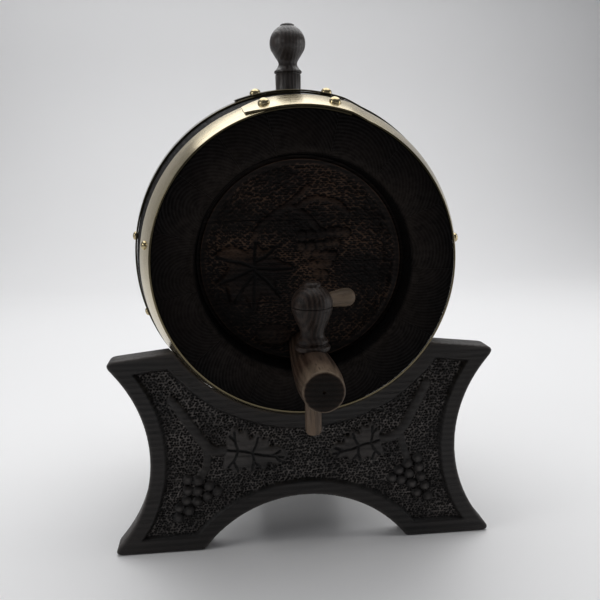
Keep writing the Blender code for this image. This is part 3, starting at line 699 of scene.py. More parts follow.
class TapSettings(bpy.types.PropertyGroup):
    tap_colour: colour_setting(
        "Tap colour", "Lighter stain on the tap's body and lever", (0.032, 0.022, 0.016))
    key_colour: colour_setting("Key colour", "Stain on the key and the bung", (0.0200, 0.0140, 0.0112))
    sides: IntProperty(name="Sides", description="Facets round a turned piece", default=112, min=24)


class StageSettings(bpy.types.PropertyGroup):
    floor_colour: colour_setting("Floor colour", "Colour of the floor and backdrop", (0.86, 0.86, 0.865))
    lens: FloatProperty(
        name="Lens", description="Camera's focal length", default=42.0, min=10, unit="CAMERA")


def settings(name):
    return getattr(bpy.context.scene, f"barrel_{name}")


# ---------------------------------------------------------------- pieces

def stave_section(wobble):
    """Section of a stave as a closed loop of (radius, along from mid-length)."""
    croze = HALF - CROZE_FRONT
    end = [(END_BORE + CHIME_CHAMFER + wobble, HALF),
           (END_BORE + 0.35 * CHIME_CHAMFER, HALF - 0.45 * CHIME_CHAMFER),
           (END_BORE, HALF - CHIME_CHAMFER - wobble), (END_BORE, croze), (END_BORE + CROZE_DEPTH, croze),
           (END_BORE + CROZE_DEPTH, croze - CROZE_WIDTH), (END_BORE + 1 * MM, croze - CROZE_WIDTH)]
    inner = outer_radius(HALF - HOWEL_END) - STAVE_THICKNESS
    end.append((inner, HALF - HOWEL_END))
    outside = [(outer_radius(along), along) for along in np.linspace(HALF, -HALF, OUTSIDE_STEPS)]
    outside[0] = (outside[0][0] - 0.3 * MM, HALF)
    outside[-1] = (outside[-1][0] - 0.3 * MM, -HALF)
    outside.insert(1, (outer_radius(HALF), HALF - 0.4 * MM))
    outside.insert(-1, (outer_radius(HALF), -HALF + 0.4 * MM))
    middle = [(outer_radius(along) - STAVE_THICKNESS, along) for along in np.linspace(-0.035, 0.035, 9)]
    return outside + [(r, -y) for r, y in end] + middle + end[::-1]


def node_angles(name):
    """First and last angle of a stave, from the top, clockwise seen from the front."""
    points = points_of(frame["nodes"][name])
    middle = points.mean(axis=0)
    centre = np.arctan2(middle[0], middle[2] - AXIS_Z)
    turn = np.arctan2(points[:, 0], points[:, 2] - AXIS_Z) - centre
    turn = (turn + pi) % (2 * pi) - pi
    closer = 0.09 * MM / CHIME_RADIUS
    return centre + turn.min() - closer, centre + turn.max() + closer


class BARREL_OT_staves(bpy.types.Operator):
    """Fourteen staves with bevelled chimes, each cut from its own plank"""

    bl_idname = "barrel.staves"
    bl_label = "Staves"

    def execute(self, context):
        cask = settings("cask")
        worn = (0.05, 0.040, 0.034)
        material = oak("stave oak", tuple(cask.stave_colour), worn, 0.55, 2.2 * MM, contrast=1.8, shine=0.03)
        random = np.random.default_rng(4)
        for node in sorted(node for node in frame["nodes"] if node.startswith("stave_")):
            low, high = node_angles(node)
            spread = np.linspace(0, 1, STAVE_STEPS)
            spread = np.concatenate([[0, JOINT_SHARE], spread[1:-1], [1 - JOINT_SHARE, 1]])
            turns = low + (high - low) * spread
            rows = []
            for turn, share in zip(turns, spread):
                wobble = cask.chime_wobble * (0.6 * sin(3 * turn + 1) + 0.4 * sin(11 * turn))
                section = np.array(stave_section(wobble))
                eased = cask.joint_easing * max(0, 1 - min(share, 1 - share) / JOINT_SHARE)
                radius = section[:, 0].copy()
                radius[:OUTSIDE_STEPS + 2] -= eased
                rows.append(np.column_stack([radius * sin(turn), CASK_Y + section[:, 1],
                                             AXIS_Z + radius * cos(turn)]))
            stave = swept_piece(f"oak_{node}", rows)
            if node == BUNG_STAVE:
                under, over = -30 * MM, 6 * MM
                radii = [BUNG_RADIUS + BUNG_GAP + height * BUNG_TAPER for height in (under, over)]
                cut(stave, cone("bung hole", (0, CASK_Y, BUNG_Z + under), (0, CASK_Y, BUNG_Z + over), *radii),
                    solver="EXACT")
            self.set_bent_grain(stave, (low + high) / 2, random)
            spots = points_of(stave)
            radius = np.hypot(spots[:, 0], spots[:, 2] - AXIS_Z) / MM
            from_chime = np.minimum(spots[:, 1] - CHIME_Y, REAR_Y - spots[:, 1]) / MM
            # Painted highlight: the chime's inner bevel is lighter near the end of the stave.
            bevel = np.exp(-((radius - (END_BORE + 0.6 * CHIME_CHAMFER) / MM) / 1.6) ** 2)
            set_wear_and_painted_light(stave, 0.8 * bevel * np.exp(-(from_chime / 3.0) ** 2))
            finish_piece(stave, "cask", material, [node], 25)
        return {"FINISHED"}

    def set_bent_grain(self, stave, middle, random):
        """The grain of a bent stave follows its curve, so it is measured from the stave's outside."""
        spots = points_of(stave)
        along = spots[:, 1] - CASK_Y
        radius = np.hypot(spots[:, 0], spots[:, 2] - AXIS_Z)
        turn = np.arctan2(spots[:, 0], spots[:, 2] - AXIS_Z) - middle
        turn = (turn + pi) % (2 * pi) - pi
        pith_side, drift = random.uniform(-0.035, 0.035), random.uniform(-0.03, 0.03)
        pith_depth, start = random.uniform(0.02, 0.06), random.uniform(0, 0.5)
        grain = np.column_stack([turn * CHIME_RADIUS + pith_side + drift * along,
                                 radius - outer_radius(along) + pith_depth, along + start])
        store_vectors(stave, "grain", grain)


class BARREL_OT_heads(bpy.types.Operator):
    """Front head of three boards, carved with a vine, and the plain rear head"""

    bl_idname = "barrel.heads"
    bl_label = "Heads"

    def execute(self, context):
        cask = settings("cask")
        colour = tuple(cask.head_colour)
        material = oak("carved head oak", colour, (0.125, 0.072, 0.045), 0.5, 3.4 * MM, contrast=1.6,
                       shine=0.15)
        rings, sides = 136, 480
        radii = np.concatenate([[0.3 * MM], np.linspace(0.8 * MM, HEAD_RADIUS, rings)])
        turns = np.linspace(0, 2 * pi, sides, endpoint=False)
        x = radii[:, None] * np.sin(turns)
        z = radii[:, None] * np.cos(turns)
        front, _ = head_relief(x / MM, z / MM)
        face = np.stack([x, HEAD_Y - front * MM, AXIS_Z + z], -1)
        back = face[-1:].copy()
        back[..., 1] = HEAD_BACK_Y
        rows = np.vstack([face, back])
        middles = [[0, face[0, :, 1].mean(), AXIS_Z], [0, HEAD_BACK_Y, AXIS_Z]]
        points = np.vstack([rows.reshape(-1, 3), middles])
        faces = grid_faces(len(rows), sides, wrap_columns=True)
        last = (len(rows) - 1) * sides
        for side in range(sides):
            after = (side + 1) % sides
            faces.append((len(points) - 2, after, side))
            faces.append((len(points) - 1, last + side, last + after))
        whole = mesh_piece("head", points, faces)
        face_outwards(whole)
        cut(whole, cone("tap hole", (0, HEAD_Y - 10 * MM, TAP_Z), (0, HEAD_BACK_Y + 10 * MM, TAP_Z),
                        *TAP_HOLE))
        joint = 0.12 * MM
        edges = [-1.0, *BOARD_JOINTS, 1.0]
        for place, (board, low, high) in enumerate(zip(("lower", "middle", "upper"), edges, edges[1:])):
            piece = whole.copy()
            piece.data = whole.data.copy()
            piece.name = f"carved_front_head_{board}"
            context.scene.collection.objects.link(piece)
            bm = bmesh.new()
            bm.from_mesh(piece.data)
            for height, up in ((low + joint, -1), (high - joint, 1)):
                geom = [*bm.verts, *bm.edges, *bm.faces]
                result = bmesh.ops.bisect_plane(bm, geom=geom, plane_co=(0, 0, height), plane_no=(0, 0, up),
                                                clear_outer=True)
                rim = [item for item in result["geom_cut"] if isinstance(item, bmesh.types.BMEdge)]
                if rim:
                    bmesh.ops.holes_fill(bm, edges=rim)
            bm.to_mesh(piece.data)
            bm.free()
            spots = points_of(piece)
            _, worn = head_relief(spots[:, 0] / MM, (spots[:, 2] - AXIS_Z) / MM)
            set_wear_and_painted_light(piece, worn)
            set_grain(piece, (0, 0, 1), (1, 0, 0), (0.05 + 0.11 * place, 0.04, 0.3 * place))
            finish_piece(piece, "cask", material, [f"front_head_{board}"], 50)
        bpy.data.objects.remove(whole)
        plain = oak("plain head oak", colour, colour, 0.5, 3.4 * MM, along="X")
        finish_cad_nodes([f"rear_head_{board}" for board in ("lower", "middle", "upper")], plain)
        return {"FINISHED"}


def hoop_strip(name, near_edge, width, facing, thickness):
    """A strip bent round the cask, whose end climbs over its start and narrows to a clipped end."""
    climb_from, start, clip_from, stop = LAP_STRETCH
    round_cask = np.linspace(start, climb_from - 360, 250)
    over_lap = np.linspace(climb_from - 360, stop - 360, 46)
    turns = np.concatenate([round_cask, over_lap[1:]])
    edge = 0.28 * MM
    half = width / 2
    across = [-half, -half + edge, *np.linspace(-half + 3 * edge, half - 3 * edge, 6), half - edge, half]
    section = [(a, thickness - (edge if abs(a) > half - edge / 2 else 0)) for a in across]
    section += [(a, 0.0) for a in across[::-1]]
    rows, strip = [], []
    for turn in turns:
        raised = np.clip((climb_from - 360 - turn) / (climb_from - start), 0, 1)
        clip = np.clip((clip_from - 360 - turn) / (clip_from - stop), 0, 1)
        row = []
        for a, h in section:
            along_cask = -facing * (near_edge + half + a * (1 - 0.45 * clip) - HALF)
            radius = outer_radius(along_cask) + HOOP_GAP + h + raised * (thickness + LAP_GAP)
            angle = radians(turn)
            row.append((radius * sin(angle), CASK_Y + along_cask, AXIS_Z + radius * cos(angle)))
            strip.append((radians(turn) * CHIME_RADIUS, a, h))
        rows.append(row)
    hoop = swept_piece(name, rows)
    # Both edges of the strip are marked for painted shade.
    set_wear_and_painted_light(hoop, [-1 if abs(a) > half - 2 * edge else 0 for _, a, _ in strip])
    store_vectors(hoop, "strip", strip)
    return hoop


def head_tree():
    """Geometry nodes that set a round fastener head on every point, square to the point's out vector."""
    tree = bpy.data.node_groups.new("fastener heads", "GeometryNodeTree")
    for name, kind in (("Geometry", "Geometry"), ("Head radius", "Float"), ("Head height", "Float"),
                       ("Material", "Material")):
        tree.interface.new_socket(name, in_out="INPUT", socket_type=f"NodeSocket{kind}")
    tree.interface.new_socket("Geometry", in_out="OUTPUT", socket_type="NodeSocketGeometry")
    given, made, dome, size, shape, out, aim, set_on, real, coat = [tree.nodes.new(kind) for kind in (
        "NodeGroupInput", "NodeGroupOutput", "GeometryNodeMeshUVSphere", "ShaderNodeCombineXYZ",
        "GeometryNodeTransform", "GeometryNodeInputNamedAttribute", "FunctionNodeAlignRotationToVector",
        "GeometryNodeInstanceOnPoints", "GeometryNodeRealizeInstances", "GeometryNodeSetMaterial")]
    for socket, number in (("Segments", 28), ("Rings", 16), ("Radius", 1.0)):
        dome.inputs[socket].default_value = number
    out.data_type = "FLOAT_VECTOR"
    out.inputs["Name"].default_value = "out"
    aim.axis = "Z"
    for start, output, end, entry in (
            (given, "Head radius", size, "X"), (given, "Head radius", size, "Y"),
            (given, "Head height", size, "Z"), (dome, "Mesh", shape, "Geometry"),
            (size, "Vector", shape, "Scale"), (out, "Attribute", aim, "Vector"),
            (given, "Geometry", set_on, "Points"), (shape, "Geometry", set_on, "Instance"),
            (aim, "Rotation", set_on, "Rotation"), (set_on, "Instances", real, "Geometry"),
            (real, "Geometry", coat, "Geometry"), (given, "Material", coat, "Material"),
            (coat, "Geometry", made, "Geometry")):
        tree.links.new(start.outputs[output], end.inputs[entry])
    return tree


def fastener_heads(name, spots, tree, radius, height, material):
    """spots are (angle in degrees, along, height above the wood)."""
    points, outs = [], []
    for angle, along, above in spots:
        slope = atan(2 * (BELLY_RADIUS - CHIME_RADIUS) * along / HALF ** 2)
        turn = Matrix.Rotation(radians(angle), 3, "Y") @ Matrix.Rotation(-slope, 3, "X")
        out = turn @ Vector((0, 0, 1))
        reach = outer_radius(along)
        base = Vector((reach * sin(radians(angle)), CASK_Y + along, AXIS_Z + reach * cos(radians(angle))))
        points.append(base + out * above)
        outs.append(out)
    obj = mesh_piece(name, np.array(points), [])
    store_vectors(obj, "out", outs)
    modifier = obj.modifiers.new("heads", "NODES")
    modifier.node_group = tree
    values = {"Head radius": radius, "Head height": height, "Material": material}
    for item in tree.interface.items_tree:
        if item.name in values and item.in_out == "INPUT":
            modifier[item.identifier] = values[item.name]
    apply_modifiers(obj)
    return obj


class BARREL_OT_hoops(bpy.types.Operator):
    """Four lapped brass hoops with their rivets and nails"""

    bl_idname = "barrel.hoops"
    bl_label = "Hoops, rivets and nails"

    def execute(self, context):
        hoops = settings("hoops")
        rubbing = (14, 1500, 1500)
        # The bilge hoops get a darker copy of the brass, a painted dark reflection.
        shaded = scaled(hoops.brass_colour, 0.28)
        strip_brass = polished_brass("strip brass", tuple(hoops.brass_colour), True, rubbing)
        shaded_strip_brass = polished_brass("dull strip brass", shaded, True, rubbing)
        head_brass = polished_brass("head brass", tuple(hoops.brass_colour), False, (300, 300, 300))
        lap = HOOP_GAP + 2 * hoops.thickness + LAP_GAP
        rivets, nails = [], []
        for end, facing in (("front", -1), ("rear", 1)):
            for kind, near_edge, width in HOOPS:
                node = f"{end}_{kind}_hoop"
                hoop = hoop_strip(f"brass_{node}", near_edge, width, facing, hoops.thickness)
                brass = strip_brass if kind == "chime" else shaded_strip_brass
                finish_piece(hoop, "cask", brass, [node], 40)
                along = facing * (HALF - near_edge - width / 2)
                rivets += [(angle, along, lap) for angle in RIVET_ANGLES]
                nails += [(angle, along, HOOP_GAP + hoops.thickness) for angle in NAIL_ANGLES[kind]]
        tree = head_tree()
        for name, spots, radius, height in (("rivet", rivets, hoops.rivet_radius, 3.2 * MM),
                                            ("nail", nails, hoops.nail_radius, 2.0 * MM)):
            piece = fastener_heads(f"brass_{name}s", spots, tree, radius, height, head_brass)
            nodes = [node for node in frame["nodes"] if f"_{name}_" in node]
            finish_piece(piece, "cask", head_brass, nodes, 60)
        return {"FINISHED"}


class BARREL_OT_bung(bpy.types.Operator):
    """Turned bung with a ball, a waisted neck and a tapered plug"""

    bl_idname = "barrel.bung"
    bl_label = "Bung"

    def execute(self, context):
        tap = settings("tap")
        foot = (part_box("bung")[0][2] - BUNG_Z) / MM
        foot_radius = BUNG_RADIUS / MM + foot * BUNG_TAPER
        button = [(0, 50.1), (1.8, 50.0), (3.4, 49.75), (4.6, 49.3), (5.15, 48.7), (5.0, 48.1)]
        neck = smooth_curve([(9.0, 26.4), (7.4, 23.9), (6.75, 21.9), (7.2, 20.2), (8.4, 18.3), (9.5, 17.2, 1),
                             (9.5, 16.9, 1), (10.0, 16.7), (10.15, 16.1), (10.1, 15.6), (9.6, 15.1, 1)], 4)
        plug = [(9.1, 14.9), (8.95, 14.4), (9.35, 13.9), (BUNG_RADIUS / MM, 0), (foot_radius, foot + 1),
                (foot_radius - 0.8, foot), (0, foot)]
        profile = button + ball(13.0, 36.1, 11.6, -5) + [tuple(point) for point in neck] + plug
        place = Matrix.Translation((0, CASK_Y, BUNG_Z))
        bung = turned_piece("turned_bung", in_metres(profile), place, tap.sides)
        material = oak("bung oak", tuple(tap.key_colour), (0.09, 0.065, 0.055), 0.36, 2.4 * MM, contrast=1.6,
                       grain_depth=0.3 * MM, shine=0.6)
        set_grain(bung, (1, 0, 0), (0, 0, 1), (0.03, -0.02, 0))
        finish_piece(bung, "bung", material, ["bung"], 40)
        return {"FINISHED"}


class BARREL_OT_tap(bpy.types.Operator):
    """Tap: bored body, key with its spout, and lever"""

    bl_idname = "barrel.tap"
    bl_label = "Tap, key and lever"

    def execute(self, context):
        tap = settings("tap")
        body_oak = oak("tap oak", tuple(tap.tap_colour), (0.20, 0.15, 0.105), 0.42, 3.0 * MM, contrast=1.6,
                       grain_depth=0.3 * MM, shine=0.12)
        key_oak = oak("key oak", tuple(tap.key_colour), (0.20, 0.14, 0.095), 0.36, 2.4 * MM, contrast=1.6,
                      grain_depth=0.3 * MM, shine=0.2)
        self.make_body(tap, body_oak)
        self.make_key(tap, key_oak)
        self.make_lever(tap, body_oak)
        return {"FINISHED"}

    def make_body(self, tap, material):
        reach = (CHIME_Y - TAP_FRONT_Y) / MM
        tail = (CHIME_Y - TAP_BACK_Y) / MM
        mark = [(0, reach - 1.6), (0.55, reach - 1.2), (0.95, reach - 0.15), (1.5, reach - 0.05)]
        front = [(6, reach - 0.1), (10.2, reach - 0.02), (11.0, reach - 0.15), (11.5, reach - 0.6),
                 (11.75, reach - 1.3)]
        barrel = smooth_curve([(11.75, reach - 1.3), (12.3, 73), (12.9, 66), (13.1, 56), (12.95, 45),
                               (12.5, 31), (11.8, 16), (11.2, 5), (9.6, -22), (8.9, -40), (8.2, tail)], 5)
        profile = mark + front + [tuple(point) for point in barrel[1:]] + [(0, tail)]
        place = Matrix.Translation((0, CHIME_Y, TAP_Z)) @ Matrix.Rotation(pi / 2, 4, "X")
        body = turned_piece("turned_tap_body", in_metres(profile), place, tap.sides)
        bore = cone("tap bore", (0, TAP_BACK_Y + 5 * MM, TAP_Z), (0, KEY_Y, TAP_Z), TAP_BORE, TAP_BORE, 32)
        seat = cone("key seat", (0, KEY_Y, TAP_Z + KEY_SEAT_HEIGHT), (0, KEY_Y, TAP_Z + 30 * MM),
                    KEY_SEAT_RADIUS, KEY_SEAT_RADIUS, 96)
        hole = cone("key hole", (0, KEY_Y, TAP_Z - KEY_HOLE_REACH),
                    (0, KEY_Y, TAP_Z + KEY_HOLE_REACH), *KEY_HOLE)
        for cutter in (bore, seat, hole):
            cut(body, cutter, solver="EXACT")
        spots = points_of(body)
        # Painted highlight: near its front the body is lighter, most on top. The front face is darker in its
        # middle and lighter round its rounded rim, and the rest of the body is a little darker.
        rim = np.hypot(spots[:, 0], spots[:, 2] - TAP_Z) / MM
        at_front = np.exp(-((spots[:, 1] - TAP_FRONT_Y) / MM / 1.4) ** 2)
        near_front = np.exp(-((spots[:, 1] - TAP_FRONT_Y) / MM / 16) ** 2)
        top_highlight = smooth_step(-4, 10, (spots[:, 2] - TAP_Z) / MM)
        disc = smooth_step(9.9, 11.4, rim) * 1.8 - 1.0
        side = near_front * (0.25 + 0.5 * top_highlight) - 0.15
        set_wear_and_painted_light(body, at_front * disc + side * (1 - at_front))
        set_grain(body, (1, 0, 0), (0, 1, 0), (0.012, -0.146, 0))
        finish_piece(body, "tap", material, ["tap_body"], 40)

    def make_key(self, tap, material):
        foot = (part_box("tap_key")[0][2] - TAP_Z) / MM
        button = [(0, 52.9), (2.0, 52.8), (3.8, 52.5), (5.0, 52.0), (5.5, 51.3), (5.35, 50.5)]
        upper = ball(12.45, 38.7, 11.2, -0.7)
        groove = [(12.35, 37.9), (12.0, 37.7), (12.35, 37.45)]
        lower = ball(12.45, 38.7, -1.35, -4, 5)
        neck = smooth_curve([(11.35, 33.4), (10.4, 30.6), (9.2, 27.9), (7.7, 24.4), (7.05, 21.7), (7.4, 19.7),
                             (8.6, 18.1), (9.0, 17.75, 1), (9.25, 17.3), (9.4, 16.6), (9.25, 15.9),
                             (8.85, 15.3, 1), (8.7, 14.9), (9.2, 14.5), (10.1, 14.2), (10.6, 13.6),
                             (10.75, 12.7), (10.5, 11.7), (10.1, 11.2, 1)], 4)
        shaft = [(7.0, 11.1), (5.1, -14), (5.0, foot + 3.0), (4.7, foot + 1.2),
                 (3.9, foot)]
        spout = [(2.3, foot), (2.2, foot + 0.6), (2.2, foot + 28), (0, foot + 28)]
        profile = button + upper + groove + lower + [tuple(point) for point in neck] + shaft + spout
        place = Matrix.Translation((KEY_X, KEY_Y, TAP_Z))
        key = turned_piece("turned_tap_key", in_metres(profile), place, tap.sides)
        drop = (points_of(key)[:, 2] - TAP_Z) / MM
        # The foot and spout are lighter, and the groove round the ball is darker.
        set_wear_and_painted_light(key, 0.75 * (1 - smooth_step(-16, -8, drop)) - 0.6 * np.exp(-((drop - 37.7) / 0.35) ** 2))
        set_grain(key, (1, 0, 0), (0, 0, 1), (0.026, 0.11, 0.2))
        finish_piece(key, "key", material, ["tap_key"], 40)

    def make_lever(self, tap, material):
        low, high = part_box("tap_lever")
        middle = (low[2] + high[2]) / 2
        out = Vector((high[0] - KEY_X, high[1] - KEY_Y, 0)).normalized()
        reach = 31.5
        dome = [(5.6 * sin(turn), reach - 4.4 + 4.4 * cos(turn)) for turn in np.linspace(0, pi / 2, 9)]
        stem = smooth_curve([(5.6, reach - 4.4), (5.65, reach - 6.5), (5.35, reach - 9.5), (4.75, 17),
                             (4.5, 12.5), (4.5, 9)], 5)
        profile = dome + [tuple(point) for point in stem[1:]] + [(0, 9)]
        turn = Vector((0, 0, 1)).rotation_difference(out).to_matrix().to_4x4()
        lever = turned_piece("turned_tap_lever", in_metres(profile),
                             Matrix.Translation((KEY_X, KEY_Y, middle)) @ turn, tap.sides // 2)
        set_wear_and_painted_light(lever, np.full(len(lever.data.vertices), 0.65))
        set_grain(lever, (0, 0, 1), out, (0.02, 0.015, 0.4))
        finish_piece(lever, "key", material, ["tap_lever"], 40)


def arc(centre, radius, start, end, steps):
    """Points on the shorter arc from start to end."""
    first = np.arctan2(start[1] - centre[1], start[0] - centre[0])
    sweep = np.arctan2(end[1] - centre[1], end[0] - centre[0]) - first
    sweep = (sweep + pi) % (2 * pi) - pi
    turns = first + sweep * np.linspace(0, 1, steps + 1)
    return [Vector((centre[0] + radius * cos(turn), centre[1] + radius * sin(turn))) for turn in turns]


def round_corner(before, corner, after, radius, steps=10):
    start = corner + (before - corner).normalized() * radius
    end = corner + (after - corner).normalized() * radius
    ticks = [step / steps for step in range(steps + 1)]
    return [start * (1 - t) ** 2 + corner * 2 * t * (1 - t) + end * t ** 2 for t in ticks]


def plate_outline(plate, cradle):
    """Outline of the plate, as (x, z): arched foot, hollow sides, horns, and a round cradle on top."""
    side_x, side_z, side_radius = plate["side"]
    arch_z, arch_radius = plate["arch"]
    axis = Vector((0, AXIS_Z))
    arch_foot = Vector((sqrt(arch_radius ** 2 - arch_z ** 2), 0))
    foot = Vector((side_x - sqrt(side_radius ** 2 - side_z ** 2), 0))
    tip = Vector((side_x - sqrt(side_radius ** 2 - (plate["tip"] - side_z) ** 2), plate["tip"]))
    rise = Vector((-1, plate["slope"])).normalized()
    reach = (axis - tip).dot(rise)
    miss = (axis - tip - rise * reach).length
    horn = tip + rise * (reach - sqrt(cradle ** 2 - miss ** 2))
    arch = arc((0, arch_z), arch_radius, (0, arch_z + arch_radius), arch_foot, 30)
    side = arc((side_x, side_z), side_radius, foot, tip, 60)
    seat = arc(axis, cradle, horn, (0, AXIS_Z - cradle), 50)
    corner = plate["corner"]
    half = arch[:-1]
    half += round_corner(arch[-2], arch_foot, foot, 0.2 * corner, 4)
    trim = max(1, int(corner / (side[1] - side[0]).length))
    half += round_corner(arch_foot, foot, side[trim], corner)
    half += side[trim + 1:-trim - 1]
    half += round_corner(side[-trim - 1], tip, horn, corner)
    half += [horn]
    half += seat[1:]
    return half + [Vector((-point.x, point.y)) for point in half[-2:0:-1]]


class BARREL_OT_stand(bpy.types.Operator):
    """Carved front plate, and the finish of the rear plate, rails and screws"""

    bl_idname = "barrel.stand"
    bl_label = "Stand"

    def execute(self, context):
        stand = settings("stand")
        colour = tuple(stand.stand_colour)
        worn = (0.200, 0.178, 0.165)
        material = oak("carved stand oak", colour, worn, 0.46, 3.6 * MM, grain_depth=0.24 * MM, contrast=1.7,
                       shine=0.3)
        pitch = stand.carving_pitch
        low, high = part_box("front_cradle")
        xs = np.arange(low[0] - 2 * pitch, high[0] + 2 * pitch, pitch)
        zs = np.arange(low[2] - 2 * pitch, high[2] + 2 * pitch, pitch)
        x, z = np.meshgrid(xs, zs)
        seat_radius = outer_radius(PLATE_FACE_Y - CASK_Y) + HOOP_GAP + HOOP_THICKNESS + SEAT_GAP
        outline = [point / MM for point in plate_outline(PLATE, seat_radius)]
        depth = depth_inside(x / MM, z / MM, outline)
        behind, _ = plate_relief(x / MM, z / MM, depth, stand.field_depth / MM)
        y = PLATE_FACE_Y + np.maximum(behind, 0) * MM
        keep = (depth > -2.5)
        face = np.stack([x, y, z], -1)
        plate = self.height_block(face, keep, PLATE_BACK_Y + 1 * MM)
        prism = self.prism(plate_outline(PLATE, CHIME_RADIUS - 6 * MM))
        cut(plate, prism, "INTERSECT")
        cut(plate, self.seat())
        spots = points_of(plate)
        depth = depth_inside(spots[:, 0] / MM, spots[:, 2] / MM, outline)
        _, wear_light_and_shade = plate_relief(spots[:, 0] / MM, spots[:, 2] / MM, depth, stand.field_depth / MM)
        on_face = 1 - smooth_step(3.4, 4.2, (spots[:, 1] - PLATE_FACE_Y) / MM)
        set_wear_and_painted_light(plate, wear_light_and_shade * on_face + 0.25 * (1 - on_face))
        set_grain(plate, (0, 0, 1), (1, 0, 0), (0.10, 0.05, 0))
        plate.name = "carved_front_cradle"
        finish_piece(plate, "stand", material, ["front_cradle"], 50)
        plank = oak("plain stand oak", colour, worn, 0.55, 3.6 * MM, along="X")
        rail = oak("rail oak", colour, worn, 0.55, 3.6 * MM, along="Y")
        finish_cad_nodes(["rear_cradle"], plank)
        finish_cad_nodes(["rail_left", "rail_right"], rail)
        finish_cad_nodes(["rear_screw_left", "rear_screw_right"], bright_steel("screw steel"))
        return {"FINISHED"}

    def height_block(self, face, keep, back_y):
        """A closed block whose front is the carved face, over the cells that the plate covers."""
        rows, columns = keep.shape
        wanted = keep[:-1, :-1] & keep[:-1, 1:] & keep[1:, 1:] & keep[1:, :-1]
        quads = np.array(grid_faces(rows, columns)).reshape(rows - 1, columns - 1, 4)[wanted]
        used, quads = np.unique(quads, return_inverse=True)
        quads = quads.reshape(-1, 4)
        front = face.reshape(-1, 3)[used]
        back = front.copy()
        back[:, 1] = back_y
        count = len(front)
        edges = np.vstack([quads[:, [side, (side + 1) % 4]] for side in range(4)])
        names = {tuple(edge) for edge in edges.tolist()}
        rim = [edge for edge in names if (edge[1], edge[0]) not in names]
        faces = quads.tolist() + (quads[:, ::-1] + count).tolist()
        faces += [(b, a, a + count, b + count) for a, b in rim]
        block = mesh_piece("plate", np.vstack([front, back]), faces)
        face_outwards(block)
        return block

    def prism(self, outline):
        count = len(outline)
        front = [(point.x, PLATE_FACE_Y - 3 * MM, point.y) for point in outline]
        back = [(point.x, PLATE_BACK_Y, point.y) for point in outline]
        faces = [list(range(count)), list(range(count, 2 * count))[::-1]]
        faces += [(n, (n + 1) % count, (n + 1) % count + count, n + count) for n in range(count)]
        prism = mesh_piece("prism", np.array(front + back), faces)
        face_outwards(prism)
        return prism

    def seat(self):
        clear = HOOP_GAP + HOOP_THICKNESS + SEAT_GAP
        alongs = np.linspace(-HALF - 5 * MM, -HALF + 45 * MM, 21)
        profile = [(outer_radius(along) + clear, along) for along in alongs]
        profile = [(0, alongs[0]), *profile, (0, alongs[-1])]
        place = Matrix.Translation((0, CASK_Y, AXIS_Z)) @ Matrix.Rotation(-pi / 2, 4, "X")
        return turned_piece("seat", profile, place, 220)


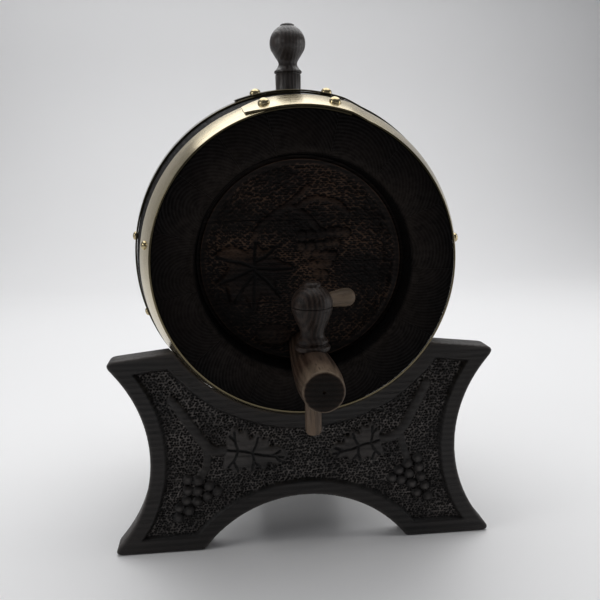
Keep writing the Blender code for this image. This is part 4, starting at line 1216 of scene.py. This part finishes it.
class BARREL_OT_stage(bpy.types.Operator):
    """Pale floor and backdrop, soft lights and the camera"""

    bl_idname = "barrel.stage"
    bl_label = "Stage"

    def execute(self, context):
        stage = settings("stage")
        self.make_floor(stage)
        self.make_lights()
        turn = Matrix.Rotation(radians(CAMERA_TURN), 4, "Z")
        dip = Matrix.Rotation(radians(90 - CAMERA_DIP), 4, "X")
        camera = bpy.data.objects.new("camera", bpy.data.cameras.new("camera"))
        camera.data.lens = stage.lens
        camera.data.sensor_width = 36
        roll = Matrix.Rotation(radians(CAMERA_ROLL), 4, "Z")
        camera.matrix_world = Matrix.Translation(CAMERA_PLACE) @ turn @ dip @ roll
        context.scene.collection.objects.link(camera)
        context.scene.camera = camera
        context.scene.view_settings.view_transform = "Standard"
        return {"FINISHED"}

    def make_floor(self, stage):
        bend, wall, half = BACKDROP_BEND, BACKDROP_WALL, BACKDROP_HALF
        path = [(-9.0, 0.0)]
        path += [(wall - bend + bend * sin(t), bend - bend * cos(t)) for t in np.linspace(0, pi / 2, 25)]
        path += [(wall, 4.0)]
        points = [[(side, y, z) for side in (-half, half)] for y, z in path]
        floor = mesh_piece("floor", np.array(points), grid_faces(len(path), 2))
        paper = Shading("backdrop", 0.55)
        cloud = paper.noise(paper.object_coords(), 3.0, 2)
        colour = tuple(stage.floor_colour)
        paper.link(paper.mix(cloud, scaled(colour, 0.97), colour), paper.shader.inputs["Base Color"])
        floor.data.materials.append(paper.material)
        floor.data.shade_smooth()

    def make_lights(self):
        world = bpy.context.scene.world or bpy.data.worlds.new("world")
        bpy.context.scene.world = world
        world.use_nodes = True
        background = world.node_tree.nodes["Background"]
        background.inputs["Color"].default_value = (0.93, 0.94, 1.0, 1)
        background.inputs["Strength"].default_value = 0.115
        seen = world.node_tree.nodes.new("ShaderNodeBackground")
        seen.inputs["Color"].default_value = (0.12, 0.12, 0.122, 1)
        path = world.node_tree.nodes.new("ShaderNodeLightPath")
        either = world.node_tree.nodes.new("ShaderNodeMixShader")
        links = world.node_tree.links
        links.new(path.outputs["Is Camera Ray"], either.inputs["Fac"])
        links.new(background.outputs["Background"], either.inputs[1])
        links.new(seen.outputs["Background"], either.inputs[2])
        links.new(either.outputs["Shader"], world.node_tree.nodes["World Output"].inputs["Surface"])
        target = Vector((0, 0, AXIS_Z))
        for name, place, size, energy in LIGHTS:
            light = bpy.data.lights.new(name, "AREA")
            light.shape = "SQUARE"
            light.size = size
            light.energy = energy
            lamp = bpy.data.objects.new(name, light)
            aim = (target - Vector(place)).to_track_quat("-Z", "Y")
            lamp.matrix_world = Matrix.Translation(place) @ aim.to_matrix().to_4x4()
            bpy.context.scene.collection.objects.link(lamp)


STEPS = (BARREL_OT_stage, BARREL_OT_staves, BARREL_OT_heads, BARREL_OT_hoops, BARREL_OT_bung,
         BARREL_OT_tap, BARREL_OT_stand)
GROUPS = {"cask": CaskSettings, "hoops": HoopSettings, "stand": StandSettings, "tap": TapSettings,
          "stage": StageSettings}


class BARREL_PT_panel(bpy.types.Panel):
    """Sizes, colours and steps of the barrel"""

    bl_idname = "BARREL_PT_panel"
    bl_label = "Oak wine barrel"
    bl_space_type = "VIEW_3D"
    bl_region_type = "UI"
    bl_category = "Barrel"

    def draw(self, context):
        for name in GROUPS:
            box = self.layout.box()
            group = settings(name)
            for field in group.__annotations__:
                box.prop(group, field)
        for step in STEPS:
            self.layout.operator(step.bl_idname)


def register():
    for item in (*GROUPS.values(), *STEPS, BARREL_PT_panel):
        bpy.utils.register_class(item)
    for name, group in GROUPS.items():
        setattr(bpy.types.Scene, f"barrel_{name}", PointerProperty(type=group))


def unregister():
    for name in GROUPS:
        delattr(bpy.types.Scene, f"barrel_{name}")
    for item in reversed((*GROUPS.values(), *STEPS, BARREL_PT_panel)):
        bpy.utils.unregister_class(item)


def main():
    register()
    bpy.ops.barrel.stage()
    bpy.ops.barrel.staves()
    bpy.ops.barrel.heads()
    bpy.ops.barrel.hoops()
    bpy.ops.barrel.bung()
    bpy.ops.barrel.tap()
    bpy.ops.barrel.stand()


if __name__ == "__main__":
    main()
